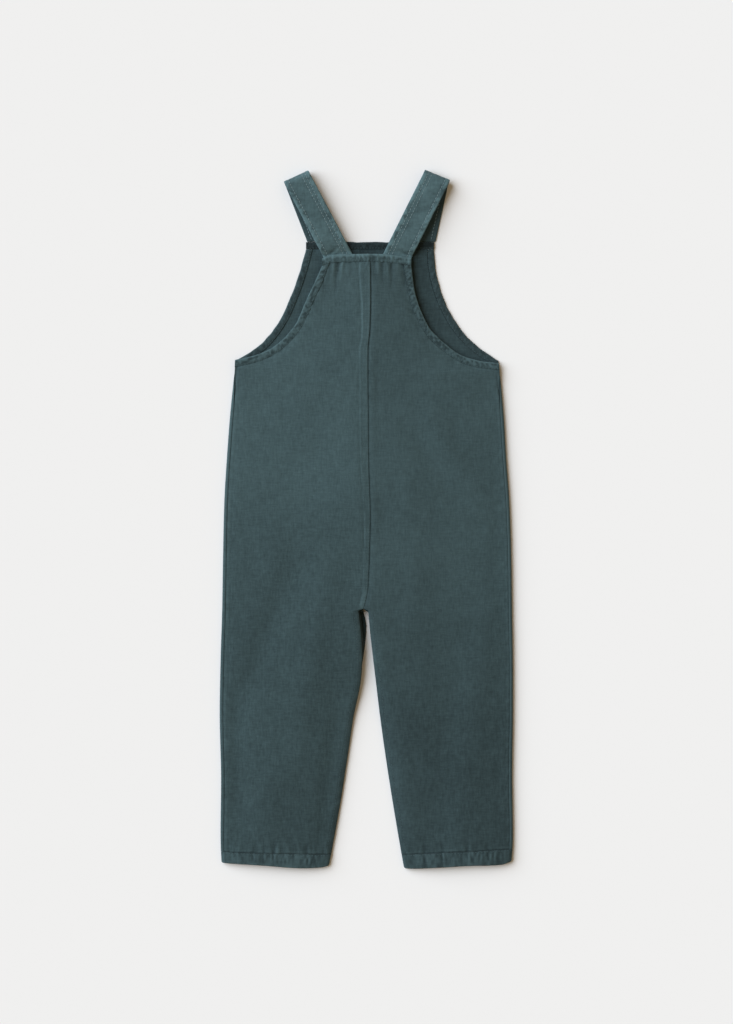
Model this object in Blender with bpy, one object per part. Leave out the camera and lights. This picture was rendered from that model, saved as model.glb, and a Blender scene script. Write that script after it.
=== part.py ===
"""Dungarees for a two year old, laid flat with the back up.

Metres, +Z up. The straps point to +Y, the leg hems to -Y, and z = 0 is the surface they lie on.
The front panels lie on that surface with their right side down, and the back panels arch over them.
Side -1 is the left of the plan (-X) and side +1 is its right. Every panel is a loft of rows: a row
runs from its inner end, at the centre seam or the inseam, to its outer end, at the side or armhole.
"""

import math
from bisect import bisect_right
from collections import namedtuple

import bmesh
import bpy
from mathutils import Vector

# Cloth
WALL = 0.0012
STRAP_WALL = 0.0018
HEM_WALL = 0.0022
LEG_HEM_WALL = 0.0019
LEG_HEM_FULLNESS = 0.0006
GAP = 0.0003
HALF_GAP = GAP / 2
CURVE_CLEARANCE = 0.0002

# Widths of the turned hems and of the straps
ARMHOLE_HEM = 0.0074
FRONT_ARMHOLE_HEM = 0.0070
STRAP_WIDTH = 0.0286

# The rolled side edge, where the front wraps round to the back
SIDE_ROLL = 0.0026
SIDE_LIP = 0.0009
INSEAM_ROLL = 0.0022
INSEAM_DROP = 0.0014
INSEAM_DROP_WIDTH = 0.006
FRONT_INSEAM_INSET = 0.0008

# The front's inner edge rises under the back's at the crotch and the upper inseams, and on the left
# the front reaches a little way past the inseam, into the gap between the legs
INSEAM_LIFT_SHARES = (0.0, 0.12, 0.24, 0.38, 0.58, 1.0)
INSEAM_LIFT_WIDTH = 0.0090
INSEAM_LIFT_GAP = 0.0004
CROTCH_RAMP_TOP = -0.0770
FRONT_CROTCH_DROP = 0.0034
CrotchReach = namedtuple("CrotchReach", "y left")
FRONT_CROTCH = (
    CrotchReach(-0.1600, 0.0000),
    CrotchReach(-0.1400, 0.0024),
    CrotchReach(-0.1220, 0.0052),
    CrotchReach(-0.1080, 0.0066),
    CrotchReach(-0.0970, 0.0050),
)

# Felled centre back seam
FELL_START = 0.0009
FELL_RISE = 0.0009
FELL_SLOPE = 0.0012
FELL_END = 0.002

# Puckers of the turned hems: their slant, and how unevenly they swell
PUCKER_PITCH = 0.0072
PUCKER_RISE = 0.00035
PUCKER_SLANT = 0.35
PUCKER_SWELL = 0.35
PUCKER_BEAT = 2.7
LEG_PUCKER_SHARE = 1.4
BIB_BACK_PHASE = 0.6
BIB_FRONT_PHASE = 1.9

# Fullness of a hem across its width: where it starts on the wave, and how much of the wave it takes
Fullness = namedtuple("Fullness", "start spread")
HEM_FULLNESS = Fullness(0.22, 0.62)
LEG_FULLNESS = Fullness(0.10, 0.70)
LEG_FULLNESS_FADE = 6.0

# Shapes of the soft curves
CURVE_REACH = 0.01
ARCH_POWER = 2.5
TOP_BULGE_POWER = 6
FOLD_SPAN = Fullness(0.12, 0.76)
FOLD_FADE = 3.0

# Outlines in plan
Outline = namedtuple("Outline", "y left right")
SILHOUETTE = (
    Outline(0.1664, -0.1380, 0.1387),
    Outline(0.1517, -0.1392, 0.1405),
    Outline(0.1076, -0.1436, 0.1444),
    Outline(0.0635, -0.1469, 0.1470),
    Outline(0.0194, -0.1495, 0.1502),
    Outline(-0.0394, -0.1509, 0.1523),
    Outline(-0.0982, -0.1519, 0.1531),
    Outline(-0.1444, -0.1534, 0.1539),
    Outline(-0.2074, -0.1544, 0.1540),
    Outline(-0.2704, -0.1530, 0.1532),
    Outline(-0.3334, -0.1535, 0.1540),
    Outline(-0.3660, -0.1525, 0.1526),
)
INSEAM = (
    Outline(-0.0966, -0.0081, 0.0017),
    Outline(-0.1234, -0.0053, 0.0042),
    Outline(-0.1433, -0.0044, 0.0065),
    Outline(-0.1717, -0.0061, 0.0099),
    Outline(-0.2074, -0.0134, 0.0142),
    Outline(-0.2452, -0.0191, 0.0194),
    Outline(-0.2956, -0.0269, 0.0272),
    Outline(-0.3460, -0.0359, 0.0357),
    Outline(-0.3660, -0.0394, 0.0394),
)
Seam = namedtuple("Seam", "y x fell_width")
CENTRE_BACK = (
    Seam(0.2800, 0.0042, 0.0118),
    Seam(0.2290, 0.0046, 0.0100),
    Seam(0.1980, 0.0037, 0.0086),
    Seam(0.1780, 0.0019, 0.0084),
    Seam(0.1030, 0.0021, 0.0084),
    Seam(0.0560, 0.0026, 0.0080),
    Seam(0.0016, 0.0042, 0.0060),
    Seam(-0.0380, 0.0032, 0.0056),
    Seam(-0.0580, 0.0025, 0.0052),
    Seam(-0.0780, 0.0008, 0.0046),
    Seam(-0.0955, -0.0035, 0.0040),
)
CENTRE_FRONT = (
    Seam(0.2920, -0.0066, 0.0),
    Seam(-0.0955, -0.0035, 0.0),
)
CROTCH_Y = -0.0955

# Armholes run from the underarm up to the bib's hem
BACK_ARMHOLE = {
    -1: ((-0.1382, 0.1672), (-0.1140, 0.1731), (-0.0973, 0.1814), (-0.0830, 0.1938),
         (-0.0725, 0.2084), (-0.0638, 0.2291), (-0.0538, 0.2499), (-0.0467, 0.2659)),
    1: ((0.1390, 0.1640), (0.1164, 0.1668), (0.0978, 0.1731), (0.0812, 0.1855),
        (0.0667, 0.2000), (0.0583, 0.2167), (0.0510, 0.2374), (0.0470, 0.2664)),
}
FRONT_ARMHOLE = {
    -1: ((-0.1380, 0.1664), (-0.1143, 0.1811), (-0.1004, 0.1958), (-0.0902, 0.2105),
         (-0.0832, 0.2252), (-0.0720, 0.2546), (-0.0671, 0.2714), (-0.0636, 0.2838)),
    1: ((0.1387, 0.1664), (0.1174, 0.1811), (0.1021, 0.1958), (0.0919, 0.2105),
        (0.0837, 0.2252), (0.0739, 0.2546), (0.0716, 0.2714), (0.0711, 0.2838)),
}

# Bib hems, from left to right
BACK_BIB_EDGE = (
    (-0.0465, 0.2737), (-0.0378, 0.2772), (-0.0095, 0.2783), (0.0158, 0.2783), (0.0471, 0.2746),
)
BACK_BIB_STITCH = (
    (-0.0467, 0.2662), (-0.0378, 0.2688), (-0.0200, 0.2700), (0.0180, 0.2697), (0.0470, 0.2667),
)
ARMHOLE_HEM_END = 0.415
BIB_HALF_WIDTH = 0.040
FRONT_BIB_TOP = 0.2914
FRONT_BIB_STITCH = 0.2841

# Leg hems: the lower edge by the share of the leg's width, from the inseam to the side
HemEdge = namedtuple("HemEdge", "y left right")
HEM_EDGE = (
    HemEdge(0.00, -0.3645, -0.3672),
    HemEdge(0.08, -0.3664, -0.3676),
    HemEdge(0.30, -0.3668, -0.3665),
    HemEdge(0.60, -0.3642, -0.3645),
    HemEdge(0.90, -0.3622, -0.3634),
    HemEdge(1.00, -0.3614, -0.3600),
)
HEM_STITCH_INNER_Y = -0.3528
HEM_STITCH_OUTER_Y = {-1: -0.3499, 1: -0.3470}
HEM_SLANT_END_Y = -0.2600
FRONT_HEM_INSET = 0.0006

# Heights of the back's underside: at the inner end, the arch between, and at the outer end
Height = namedtuple("Height", "y inner arch outer")
BACK_HEIGHTS = (
    Height(0.2700, 0.0074, 0.0004, 0.0060),
    Height(0.2200, 0.0088, 0.0004, 0.0060),
    Height(0.1700, 0.0100, 0.0005, 0.0046),
    Height(0.1000, 0.0112, 0.0007, 0.0039),
    Height(0.0000, 0.0114, 0.0010, 0.0039),
    Height(-0.0500, 0.0112, 0.0012, 0.0039),
    Height(-0.0955, 0.0116, 0.0010, 0.0039),
    Height(-0.1250, 0.0108, 0.0012, 0.0039),
    Height(-0.1500, 0.0092, 0.0018, 0.0039),
    Height(-0.1800, 0.0066, 0.0028, 0.0039),
    Height(-0.2150, 0.0038, 0.0040, 0.0039),
    Height(-0.2450, 0.0030, 0.0043, 0.0039),
    Height(-0.3528, 0.0030, 0.0038, 0.0039),
)

# Soft folds of the back: a line in plan, its width, and its rise or fall
Fold = namedtuple("Fold", "start end width rise")
FOLDS = (
    Fold((-0.069, -0.044), (-0.132, -0.254), 0.018, -0.0011),
    Fold((-0.048, -0.044), (-0.080, -0.254), 0.020, 0.0008),
    Fold((-0.036, -0.190), (-0.052, -0.340), 0.014, -0.0006),
    Fold((0.062, 0.112), (0.112, 0.036), 0.012, 0.0006),
    Fold((0.045, 0.092), (0.095, 0.020), 0.012, -0.0005),
    Fold((0.100, -0.150), (0.075, -0.330), 0.020, -0.0007),
    Fold((0.028, -0.200), (0.050, -0.330), 0.014, 0.0006),
)

# Rows of the panels below the armhole, with the wrap of the front's side edge in degrees
BodyRow = namedtuple("BodyRow", "y wrap inset")
BODY_ROWS = (
    BodyRow(-0.3528, 180, 0.0038),
    BodyRow(-0.3340, 180, 0.0038),
    BodyRow(-0.3120, 180, 0.0038),
    BodyRow(-0.2870, 180, 0.0038),
    BodyRow(-0.2600, 180, 0.0038),
    BodyRow(-0.2320, 180, 0.0038),
    BodyRow(-0.2050, 180, 0.0038),
    BodyRow(-0.1820, 180, 0.0038),
    BodyRow(-0.1600, 180, 0.0038),
    BodyRow(-0.1400, 180, 0.0038),
    BodyRow(-0.1220, 180, 0.0038),
    BodyRow(-0.1080, 180, 0.0038),
    BodyRow(-0.0970, 180, 0.0038),
    BodyRow(-0.0955, 180, 0.0038),
    BodyRow(-0.0880, 180, 0.0038),
    BodyRow(-0.0740, 180, 0.0038),
    BodyRow(-0.0540, 180, 0.0038),
    BodyRow(-0.0300, 180, 0.0038),
    BodyRow(0.0000, 180, 0.0038),
    BodyRow(0.0300, 180, 0.0038),
    BodyRow(0.0600, 180, 0.0038),
    BodyRow(0.0880, 180, 0.0038),
    BodyRow(0.1120, 180, 0.0038),
    BodyRow(0.1320, 140, 0.0030),
    BodyRow(0.1430, 92, 0.0008),
    BodyRow(0.1500, 0, 0.0003),
)
EVEN_ROWS_TOP = 0.1120
BODY_TOP = BODY_ROWS[-1].y
BACK_ARMHOLE_ROWS = 17
FRONT_ARMHOLE_ROWS = 14
ARMHOLE_STATIONS = 52
FRONT_ARMHOLE_STATIONS = 30
BIB_STATIONS = 40
FRONT_BIB_STATIONS = 30
LEG_HEM_BACK_STATIONS = 46
LEG_HEM_ROLL_STATIONS = 5
LEG_HEM_FLOOR_STATIONS = 10
HEM_SHARES = (0.0, 0.3, 0.75, 1.0)

# Columns of a panel: distances from its inner end, then even shares, then distances from its outer end
BACK_MIDDLE_COLUMNS = 6
BACK_OUTER_COLUMNS = (0.012, 0.003, 0.0)
FRONT_COLUMNS = 3
WRAP_COLUMNS = 5
WRAP_LENGTH = math.pi * SIDE_ROLL + SIDE_LIP

# Straps: plan places of the middle of each strap, and the slant of its fold
StrapPlan = namedtuple("StrapPlan", "back_end fold front_end fold_slant")
STRAP_PLAN = {
    -1: StrapPlan((-0.0289, 0.2745), (-0.0740, 0.3605), (-0.0470, 0.2917), math.radians(24.0)),
    1: StrapPlan((0.0315, 0.2745), (0.0747, 0.3617), (0.0580, 0.2917), math.radians(-22.5)),
}
STRAP_TUCK = 0.0070
STRAP_LOOP = 0.0061
StrapRow = namedtuple("StrapRow", "share height")
STRAP_BACK_ROWS = (
    StrapRow(0.00, 0.0054),
    StrapRow(0.05, 0.0056),
    StrapRow(0.12, 0.0082),
    StrapRow(0.20, 0.0098),
    StrapRow(0.35, 0.0112),
    StrapRow(0.50, 0.0118),
    StrapRow(0.65, 0.0121),
    StrapRow(0.80, 0.0122),
    StrapRow(0.90, 0.0122),
)
STRAP_FOLD_STEPS = 8
STRAP_FRONT_SHARES = (0.15, 0.35, 0.55, 0.75, 0.90, 1.00)
STRAP_COLUMNS = 4
STRAP_TURN = 0.22

CLOTH_COLOUR = (0.045, 0.080, 0.085, 1.0)
CLOTH_ROUGHNESS = 0.92
SIDE_NAMES = {-1: "left", 1: "right"}


def hermite(knots, values, place):
    """Value at a place on a smooth curve through values at rising knots."""
    place = min(max(place, knots[0]), knots[-1])
    i = min(bisect_right(knots, place) - 1, len(knots) - 2)

    def slope(k):
        low = max(k - 1, 0)
        high = min(k + 1, len(knots) - 1)
        return (values[high] - values[low]) / (knots[high] - knots[low])

    span = knots[i + 1] - knots[i]
    t = (place - knots[i]) / span
    return (
        values[i] * (1 + 2 * t) * (1 - t) ** 2
        + values[i + 1] * t * t * (3 - 2 * t)
        + slope(i) * span * t * (1 - t) ** 2
        - slope(i + 1) * span * t * t * (1 - t)
    )


def read(table, column, y):
    """A table's column at y, on a smooth curve through its rows."""
    rows = sorted(table)
    return hermite([row.y for row in rows], [getattr(row, column) for row in rows], y)


class PlanCurve:
    """A smooth curve in plan through a few points, read by the share of its length."""

    STEPS = 12

    def __init__(self, points):
        knots = [0.0]
        for a, b in zip(points, points[1:]):
            knots.append(knots[-1] + (Vector(b) - Vector(a)).length)
        count = self.STEPS * (len(points) - 1)
        places = [knots[-1] * k / count for k in range(count + 1)]
        xs = [p[0] for p in points]
        ys = [p[1] for p in points]
        self.line = [Vector((hermite(knots, xs, t), hermite(knots, ys, t))) for t in places]
        self.reach = [0.0]
        for a, b in zip(self.line, self.line[1:]):
            self.reach.append(self.reach[-1] + (b - a).length)

    def at(self, share):
        goal = share * self.reach[-1]
        i = min(bisect_right(self.reach, goal) - 1, len(self.line) - 2)
        step = self.reach[i + 1] - self.reach[i]
        return self.line[i].lerp(self.line[i + 1], (goal - self.reach[i]) / step)

    def beside(self, share, distance):
        """The point at a distance to the right of the curve's way."""
        ahead = self.at(min(share + CURVE_REACH, 1.0))
        behind = self.at(max(share - CURVE_REACH, 0.0))
        way = (ahead - behind).normalized()
        return self.at(share) + Vector((way.y, -way.x)) * distance


def side_column(side):
    return "left" if side < 0 else "right"


def silhouette_x(side, y):
    return read(SILHOUETTE, side_column(side), y)


def inner_x(side, y, seam):
    """Plan x of a panel's inner end: at the centre seam above the crotch, at the inseam below it."""
    if y >= CROTCH_Y:
        return read(seam, "x", y) + side * HALF_GAP
    return read(INSEAM, side_column(side), y)


def hem_stitch_y(side, share):
    """Plan y of the leg hem's stitch line, by the share of the leg's width from the inseam."""
    return HEM_STITCH_INNER_Y + (HEM_STITCH_OUTER_Y[side] - HEM_STITCH_INNER_Y) * share


def armhole_stitch(side, armhole, hem, end):
    """The inner line of an armhole hem, from the side seam up to a given end on the bib's hem."""
    edge = PlanCurve(armhole[side])
    underarm = Vector((silhouette_x(side, armhole[side][0][1] - hem), armhole[side][0][1] - hem))
    shares = [k / 8 for k in range(1, 8)]
    points = [edge.beside(share, -side * hem) for share in shares]
    return PlanCurve([underarm, *points, Vector(end)])


def back_stitch(side):
    end = PlanCurve(BACK_BIB_STITCH).at(0.5 + side * ARMHOLE_HEM_END)
    return armhole_stitch(side, BACK_ARMHOLE, ARMHOLE_HEM, end)


def front_stitch(side):
    end = (FRONT_ARMHOLE[side][-1][0] - side * FRONT_ARMHOLE_HEM, FRONT_BIB_STITCH)
    return armhole_stitch(side, FRONT_ARMHOLE, FRONT_ARMHOLE_HEM, end)


def bib_stitch_y(x):
    """Plan y of the back bib hem's stitch line."""
    xs = [point[0] for point in BACK_BIB_STITCH]
    ys = [point[1] for point in BACK_BIB_STITCH]
    return hermite(xs, ys, x)


def arch(share):
    """Zero at both ends of a row, one at its middle, and blunt between."""
    return 1.0 - abs(2.0 * share - 1.0) ** ARCH_POWER


def folds(x, y):
    """Rise of the soft folds at a place in plan."""
    place = Vector((x, y))
    total = 0.0
    for fold in FOLDS:
        start = Vector(fold.start)
        run = Vector(fold.end) - start
        along = min(max((place - start).dot(run) / run.length_squared, 0.0), 1.0)
        away = (place - start - run * along).length
        fade = math.sin(math.pi * (FOLD_SPAN.start + FOLD_SPAN.spread * along))
        total += fold.rise * fade * math.exp(-((away / fold.width) ** 2))
    return total


def pucker(along, across, phase):
    """Rise of a turned hem's puckers, which slant across it and vary along it."""
    turn = 2.0 * math.pi * (along + PUCKER_SLANT * across) / PUCKER_PITCH + phase
    swell = 1.0 - PUCKER_SWELL + PUCKER_SWELL * math.sin(turn / PUCKER_BEAT + phase)
    return PUCKER_RISE * math.sin(turn) * swell


def fullness_at(fullness, across):
    """Share of a hem's fullness at a share of its width."""
    return math.sin(math.pi * min(1.0, fullness.start + fullness.spread * across))


def moved(grid, thickness, sign, ring=False):
    """Copies a grid of points along its normals; thickness gives the distance at a row and column."""
    rows = len(grid)
    columns = len(grid[0])
    result = []
    for r in range(rows):
        before = grid[(r - 1) % rows] if ring else grid[max(r - 1, 0)]
        after = grid[(r + 1) % rows] if ring else grid[min(r + 1, rows - 1)]
        line = []
        for c in range(columns):
            along = after[c] - before[c]
            across = grid[r][min(c + 1, columns - 1)] - grid[r][max(c - 1, 0)]
            normal = along.cross(across).normalized() * sign
            line.append(grid[r][c] + normal * thickness(r, c))
        result.append(line)
    return result


def raised(grid, thickness):
    """Copies a grid of points straight up; thickness gives the distance at a row and column."""
    up = Vector((0.0, 0.0, 1.0))
    return [[point + up * thickness(r, c) for c, point in enumerate(row)] for r, row in enumerate(grid)]


def cloth_material(name):
    material = bpy.data.materials.new(name)
    material.use_nodes = True
    shader = material.node_tree.nodes["Principled BSDF"]
    shader.inputs["Base Color"].default_value = CLOTH_COLOUR
    shader.inputs["Roughness"].default_value = CLOTH_ROUGHNESS
    shader.inputs["Metallic"].default_value = 0.0
    return material


def build_wall(collection, name, outer, inner, ring=False):
    """One closed wall of cloth between two matching grids of points."""
    bm = bmesh.new()
    out = [[bm.verts.new(point) for point in row] for row in outer]
    inn = [[bm.verts.new(point) for point in row] for row in inner]
    rows = len(out)
    columns = len(out[0])
    steps = [(r, (r + 1) % rows) for r in range(rows if ring else rows - 1)]
    for r, s in steps:
        for c in range(columns - 1):
            bm.faces.new((out[r][c], out[s][c], out[s][c + 1], out[r][c + 1]))
            bm.faces.new((inn[r][c], inn[r][c + 1], inn[s][c + 1], inn[s][c]))
        for c in (0, columns - 1):
            bm.faces.new((out[r][c], inn[r][c], inn[s][c], out[s][c]))
    if not ring:
        for r in (0, rows - 1):
            for c in range(columns - 1):
                bm.faces.new((out[r][c], out[r][c + 1], inn[r][c + 1], inn[r][c]))
    bmesh.ops.recalc_face_normals(bm, faces=bm.faces)
    mesh = bpy.data.meshes.new(name)
    bm.to_mesh(mesh)
    bm.free()
    mesh.materials.append(cloth_material(name))
    mesh.shade_smooth()
    mesh.set_sharp_from_angle(angle=math.radians(40))
    piece = bpy.data.objects.new(name, mesh)
    collection.objects.link(piece)
    return piece


def outer_y(side, y, underarm):
    """Plan y of a row's outer end: it follows the hem's slant below and the underarm above."""
    if y < HEM_SLANT_END_Y:
        share = (HEM_SLANT_END_Y - y) / (HEM_SLANT_END_Y - HEM_STITCH_INNER_Y)
        return y + share * (HEM_STITCH_OUTER_Y[side] - HEM_STITCH_INNER_Y)
    if y > EVEN_ROWS_TOP:
        share = (y - EVEN_ROWS_TOP) / (BODY_TOP - EVEN_ROWS_TOP)
        return y + share * (underarm - BODY_TOP)
    return y


def back_columns(width, fell):
    """Distances of a back row's points from its inner end."""
    near = [0.0, FELL_START, fell, fell + FELL_SLOPE]
    far = [width - distance for distance in BACK_OUTER_COLUMNS]
    step = (far[0] - near[-1]) / BACK_MIDDLE_COLUMNS
    middle = [near[-1] + step * k for k in range(1, BACK_MIDDLE_COLUMNS)]
    return near + middle + far


def back_row(side, inner, outer, heights, fell):
    """Underside points of one row of a back panel."""
    width = (outer - inner).length
    points = []
    for distance in back_columns(width, fell):
        share = distance / width
        plan = inner.lerp(outer, share)
        height = heights.inner + (heights.outer - heights.inner) * share
        height += heights.arch * arch(share)
        height += folds(plan.x, plan.y) * min(1.0, FOLD_FADE * arch(share))
        if inner.y < CROTCH_Y:
            edge = max(0.0, 1.0 - distance / INSEAM_DROP_WIDTH)
            height -= INSEAM_DROP * edge * edge
        points.append(Vector((plan.x, plan.y, height)))
    return points


def heights_at(y):
    return Height(y, *(read(BACK_HEIGHTS, column, y) for column in ("inner", "arch", "outer")))


def build_back(collection, side):
    """A back panel, from the leg hem's stitch line to the hems of the armhole and the bib."""
    stitch = back_stitch(side)
    underarm = stitch.at(0.0).y - HALF_GAP
    rows = []
    fells = []
    for row in BODY_ROWS:
        y = row.y + (HALF_GAP if row is BODY_ROWS[0] else 0.0)
        end_y = outer_y(side, y, underarm)
        inner = Vector((inner_x(side, y, CENTRE_BACK), y))
        outer = Vector((silhouette_x(side, end_y) - side * row.inset, end_y))
        fells.append(read(CENTRE_BACK, "fell_width", y))
        rows.append(back_row(side, inner, outer, heights_at(y), fells[-1]))
    top = bib_stitch_y(stitch.at(1.0).x) - HALF_GAP
    seam_top = bib_stitch_y(read(CENTRE_BACK, "x", BACK_BIB_STITCH[2][1])) - HALF_GAP
    top_inner = Vector((inner_x(side, seam_top, CENTRE_BACK), seam_top))
    top_outer = Vector((stitch.at(1.0).x - side * HALF_GAP, top))

    def top_bulge(across):
        chord = top_inner.lerp(top_outer, across)
        return bib_stitch_y(chord.x) - HALF_GAP - chord.y

    for k in range(1, BACK_ARMHOLE_ROWS + 1):
        share = k / BACK_ARMHOLE_ROWS
        y = BODY_TOP + (seam_top - BODY_TOP) * share
        inner = Vector((inner_x(side, y, CENTRE_BACK), y))
        outer = stitch.beside(share, -side * (HALF_GAP + CURVE_CLEARANCE))
        if k == BACK_ARMHOLE_ROWS:
            outer = top_outer
        fells.append(read(CENTRE_BACK, "fell_width", y))
        row = back_row(side, inner, outer, heights_at(y), fells[-1])
        for point in row:
            across = (point.x - inner.x) / (outer.x - inner.x)
            point.y += top_bulge(across) * share ** TOP_BULGE_POWER
        rows.append(row)

    def thickness(r, c):
        felled = side < 0 and c in (1, 2) and rows[r][0].y > CROTCH_Y + FELL_END
        return WALL + (FELL_RISE if felled else 0.0)

    return build_wall(collection, f"back_{SIDE_NAMES[side]}", raised(rows, thickness), rows)


def wrapped(distance, wrap):
    """Place across and height at a distance into the side's wrap zone, rolled up by an angle."""
    lip_start = WRAP_LENGTH - SIDE_LIP
    roll_start = lip_start - SIDE_ROLL * wrap
    if distance <= roll_start:
        return distance, 0.0
    turn = min((distance - roll_start) / SIDE_ROLL, wrap)
    beyond = max(0.0, distance - lip_start)
    across = roll_start + SIDE_ROLL * math.sin(turn) + beyond * math.cos(wrap)
    height = SIDE_ROLL * (1.0 - math.cos(turn)) + beyond * math.sin(wrap)
    return across, height


def soft_step(share):
    """A soft step from 0 to 1."""
    share = min(1.0, max(0.0, share))
    return share * share * (3.0 - 2.0 * share)


def inseam_lift(y):
    """How far the front's inner edge stands off the surface: up to the back's edge from the crotch down."""
    if y >= CROTCH_RAMP_TOP:
        return 0.0
    ramp = min(1.0, (CROTCH_RAMP_TOP - y) / (CROTCH_RAMP_TOP - CROTCH_Y))
    under_back = read(BACK_HEIGHTS, "inner", min(y, CROTCH_Y)) - INSEAM_DROP - WALL - INSEAM_LIFT_GAP
    return max(0.0, under_back) * soft_step(ramp)


def front_crotch_reach(side, y):
    """How far the front reaches past the inseam, into the gap between the legs."""
    if side > 0 or y >= CROTCH_Y:
        return 0.0
    return read(FRONT_CROTCH, "left", y)


def front_row(side, inner, outer, wrap):
    """Lower points of one row of a front panel: raised under the back's inner edge near the crotch,
    flat, then round the side by the wrap angle."""
    width = abs(outer.x - inner.x)
    stations = [WRAP_LENGTH - SIDE_LIP * k for k in (1, 0)]
    step = stations[0] / WRAP_COLUMNS
    zone = [wrapped(step * k, wrap) for k in range(WRAP_COLUMNS + 1)]
    zone.append(wrapped(WRAP_LENGTH, wrap))
    quarter = wrapped(WRAP_LENGTH - SIDE_LIP - SIDE_ROLL * max(0.0, wrap - math.pi / 2), wrap)
    reach = max(quarter[0], zone[-1][0])
    start = width - reach
    lift = inseam_lift(inner.y)
    past = front_crotch_reach(side, inner.y)
    span = past + INSEAM_LIFT_WIDTH
    points = []
    for share in INSEAM_LIFT_SHARES:
        distance = span * share
        plan = inner.lerp(outer, distance / width)
        fall = (distance - past) / (INSEAM_LIFT_WIDTH if distance >= past else -FRONT_CROTCH_DROP)
        points.append(Vector((plan.x, plan.y, lift * (1.0 - soft_step(fall)))))
    for k in range(1, FRONT_COLUMNS):
        plan = inner.lerp(outer, (span + (start - span) * k / FRONT_COLUMNS) / width)
        points.append(Vector((plan.x, plan.y, 0.0)))
    for across, height in zone:
        plan = inner.lerp(outer, (start + across) / width)
        points.append(Vector((plan.x, plan.y, height)))
    return points


def build_front(collection, side):
    """A front panel, flat on the surface, with its side edge wrapped round to the back."""
    stitch = front_stitch(side)
    underarm = stitch.at(0.0).y - HALF_GAP
    rows = []
    for row in BODY_ROWS:
        y = row.y + (HALF_GAP if row is BODY_ROWS[0] else 0.0)
        end_y = outer_y(side, y, underarm)
        inset = FRONT_INSEAM_INSET if y < CROTCH_Y else 0.0
        inner = Vector((inner_x(side, y, CENTRE_FRONT) + side * (inset - front_crotch_reach(side, y)), y))
        outer = Vector((silhouette_x(side, end_y), end_y))
        rows.append(front_row(side, inner, outer, math.radians(row.wrap)))
    top = FRONT_BIB_STITCH - HALF_GAP
    for k in range(1, FRONT_ARMHOLE_ROWS + 1):
        share = k / FRONT_ARMHOLE_ROWS
        y = BODY_TOP + (top - BODY_TOP) * share
        inner = Vector((inner_x(side, y, CENTRE_FRONT), y))
        outer = stitch.beside(share, -side * (HALF_GAP + CURVE_CLEARANCE))
        if k == FRONT_ARMHOLE_ROWS:
            outer = Vector((stitch.at(1.0).x - side * HALF_GAP, top))
        rows.append(front_row(side, inner, outer, 0.0))
    outer_points = moved(rows, lambda r, c: WALL, -side)
    return build_wall(collection, f"front_{SIDE_NAMES[side]}", outer_points, rows)


def hem_thickness(across, pucker_rise):
    """Thickness of a turned hem across its width, thin at its stitches and round at its edge."""
    return WALL + (HEM_WALL - WALL + pucker_rise) * fullness_at(HEM_FULLNESS, across)


def build_armhole_hem(collection, name, side, stitch, edge, stations, heights):
    """A turned armhole hem, from its stitch line to the garment's edge."""
    rows = []
    for k in range(stations + 1):
        share = k / stations
        near = stitch.beside(share, side * HALF_GAP)
        far = edge.at(share)
        if k == stations:
            near.y = min(near.y, far.y) if heights is None else near.y - HALF_GAP
            far.y -= HALF_GAP
        height = 0.0 if heights is None else heights(near.y)
        row = []
        for across in HEM_SHARES:
            plan = near.lerp(far, across)
            row.append(Vector((plan.x, plan.y, height)))
        rows.append(row)
    length = edge.reach[-1]

    def thickness(r, c):
        across = HEM_SHARES[c]
        return hem_thickness(across, pucker(length * r / stations, ARMHOLE_HEM * across, side))

    return build_wall(collection, name, raised(rows, thickness), rows)


def back_edge_height(y):
    return read(BACK_HEIGHTS, "outer", y)


def build_back_bib_hem(collection):
    """The turned top hem of the back bib."""
    stitch = PlanCurve(BACK_BIB_STITCH)
    edge = PlanCurve(BACK_BIB_EDGE)
    rows = []
    for k in range(BIB_STATIONS + 1):
        share = k / BIB_STATIONS
        near = stitch.at(share) + Vector((0.0, HALF_GAP))
        far = edge.at(share)
        row = []
        for across in HEM_SHARES:
            plan = near.lerp(far, across)
            seam_x = read(CENTRE_BACK, "x", plan.y)
            heights = heights_at(plan.y)
            away = min(1.0, abs(plan.x - seam_x) / BIB_HALF_WIDTH)
            height = heights.inner + (heights.outer - heights.inner) * away
            row.append(Vector((plan.x, plan.y, height)))
        rows.append(row)
    length = edge.reach[-1]

    def thickness(r, c):
        across = HEM_SHARES[c]
        rise = pucker(length * r / BIB_STATIONS, ARMHOLE_HEM * across, BIB_BACK_PHASE)
        return hem_thickness(across, rise)

    return build_wall(collection, "bib_hem_back", raised(rows, thickness), rows)


def build_front_bib_hem(collection):
    """The turned top hem of the front bib, whose inner side shows between the straps."""
    left_edge = FRONT_ARMHOLE[-1][-1][0]
    right_edge = FRONT_ARMHOLE[1][-1][0]
    rows = []
    for k in range(FRONT_BIB_STATIONS + 1):
        x = left_edge + (right_edge - left_edge) * k / FRONT_BIB_STATIONS
        near = Vector((x, FRONT_BIB_STITCH + HALF_GAP))
        far = Vector((x, FRONT_BIB_TOP))
        rows.append([near.lerp(far, across).to_3d() for across in HEM_SHARES])
    step = (right_edge - left_edge) / FRONT_BIB_STATIONS

    def thickness(r, c):
        across = HEM_SHARES[c]
        return hem_thickness(across, pucker(step * r, ARMHOLE_HEM * across, BIB_FRONT_PHASE))

    return build_wall(collection, "bib_hem_front", raised(rows, thickness), rows)


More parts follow.
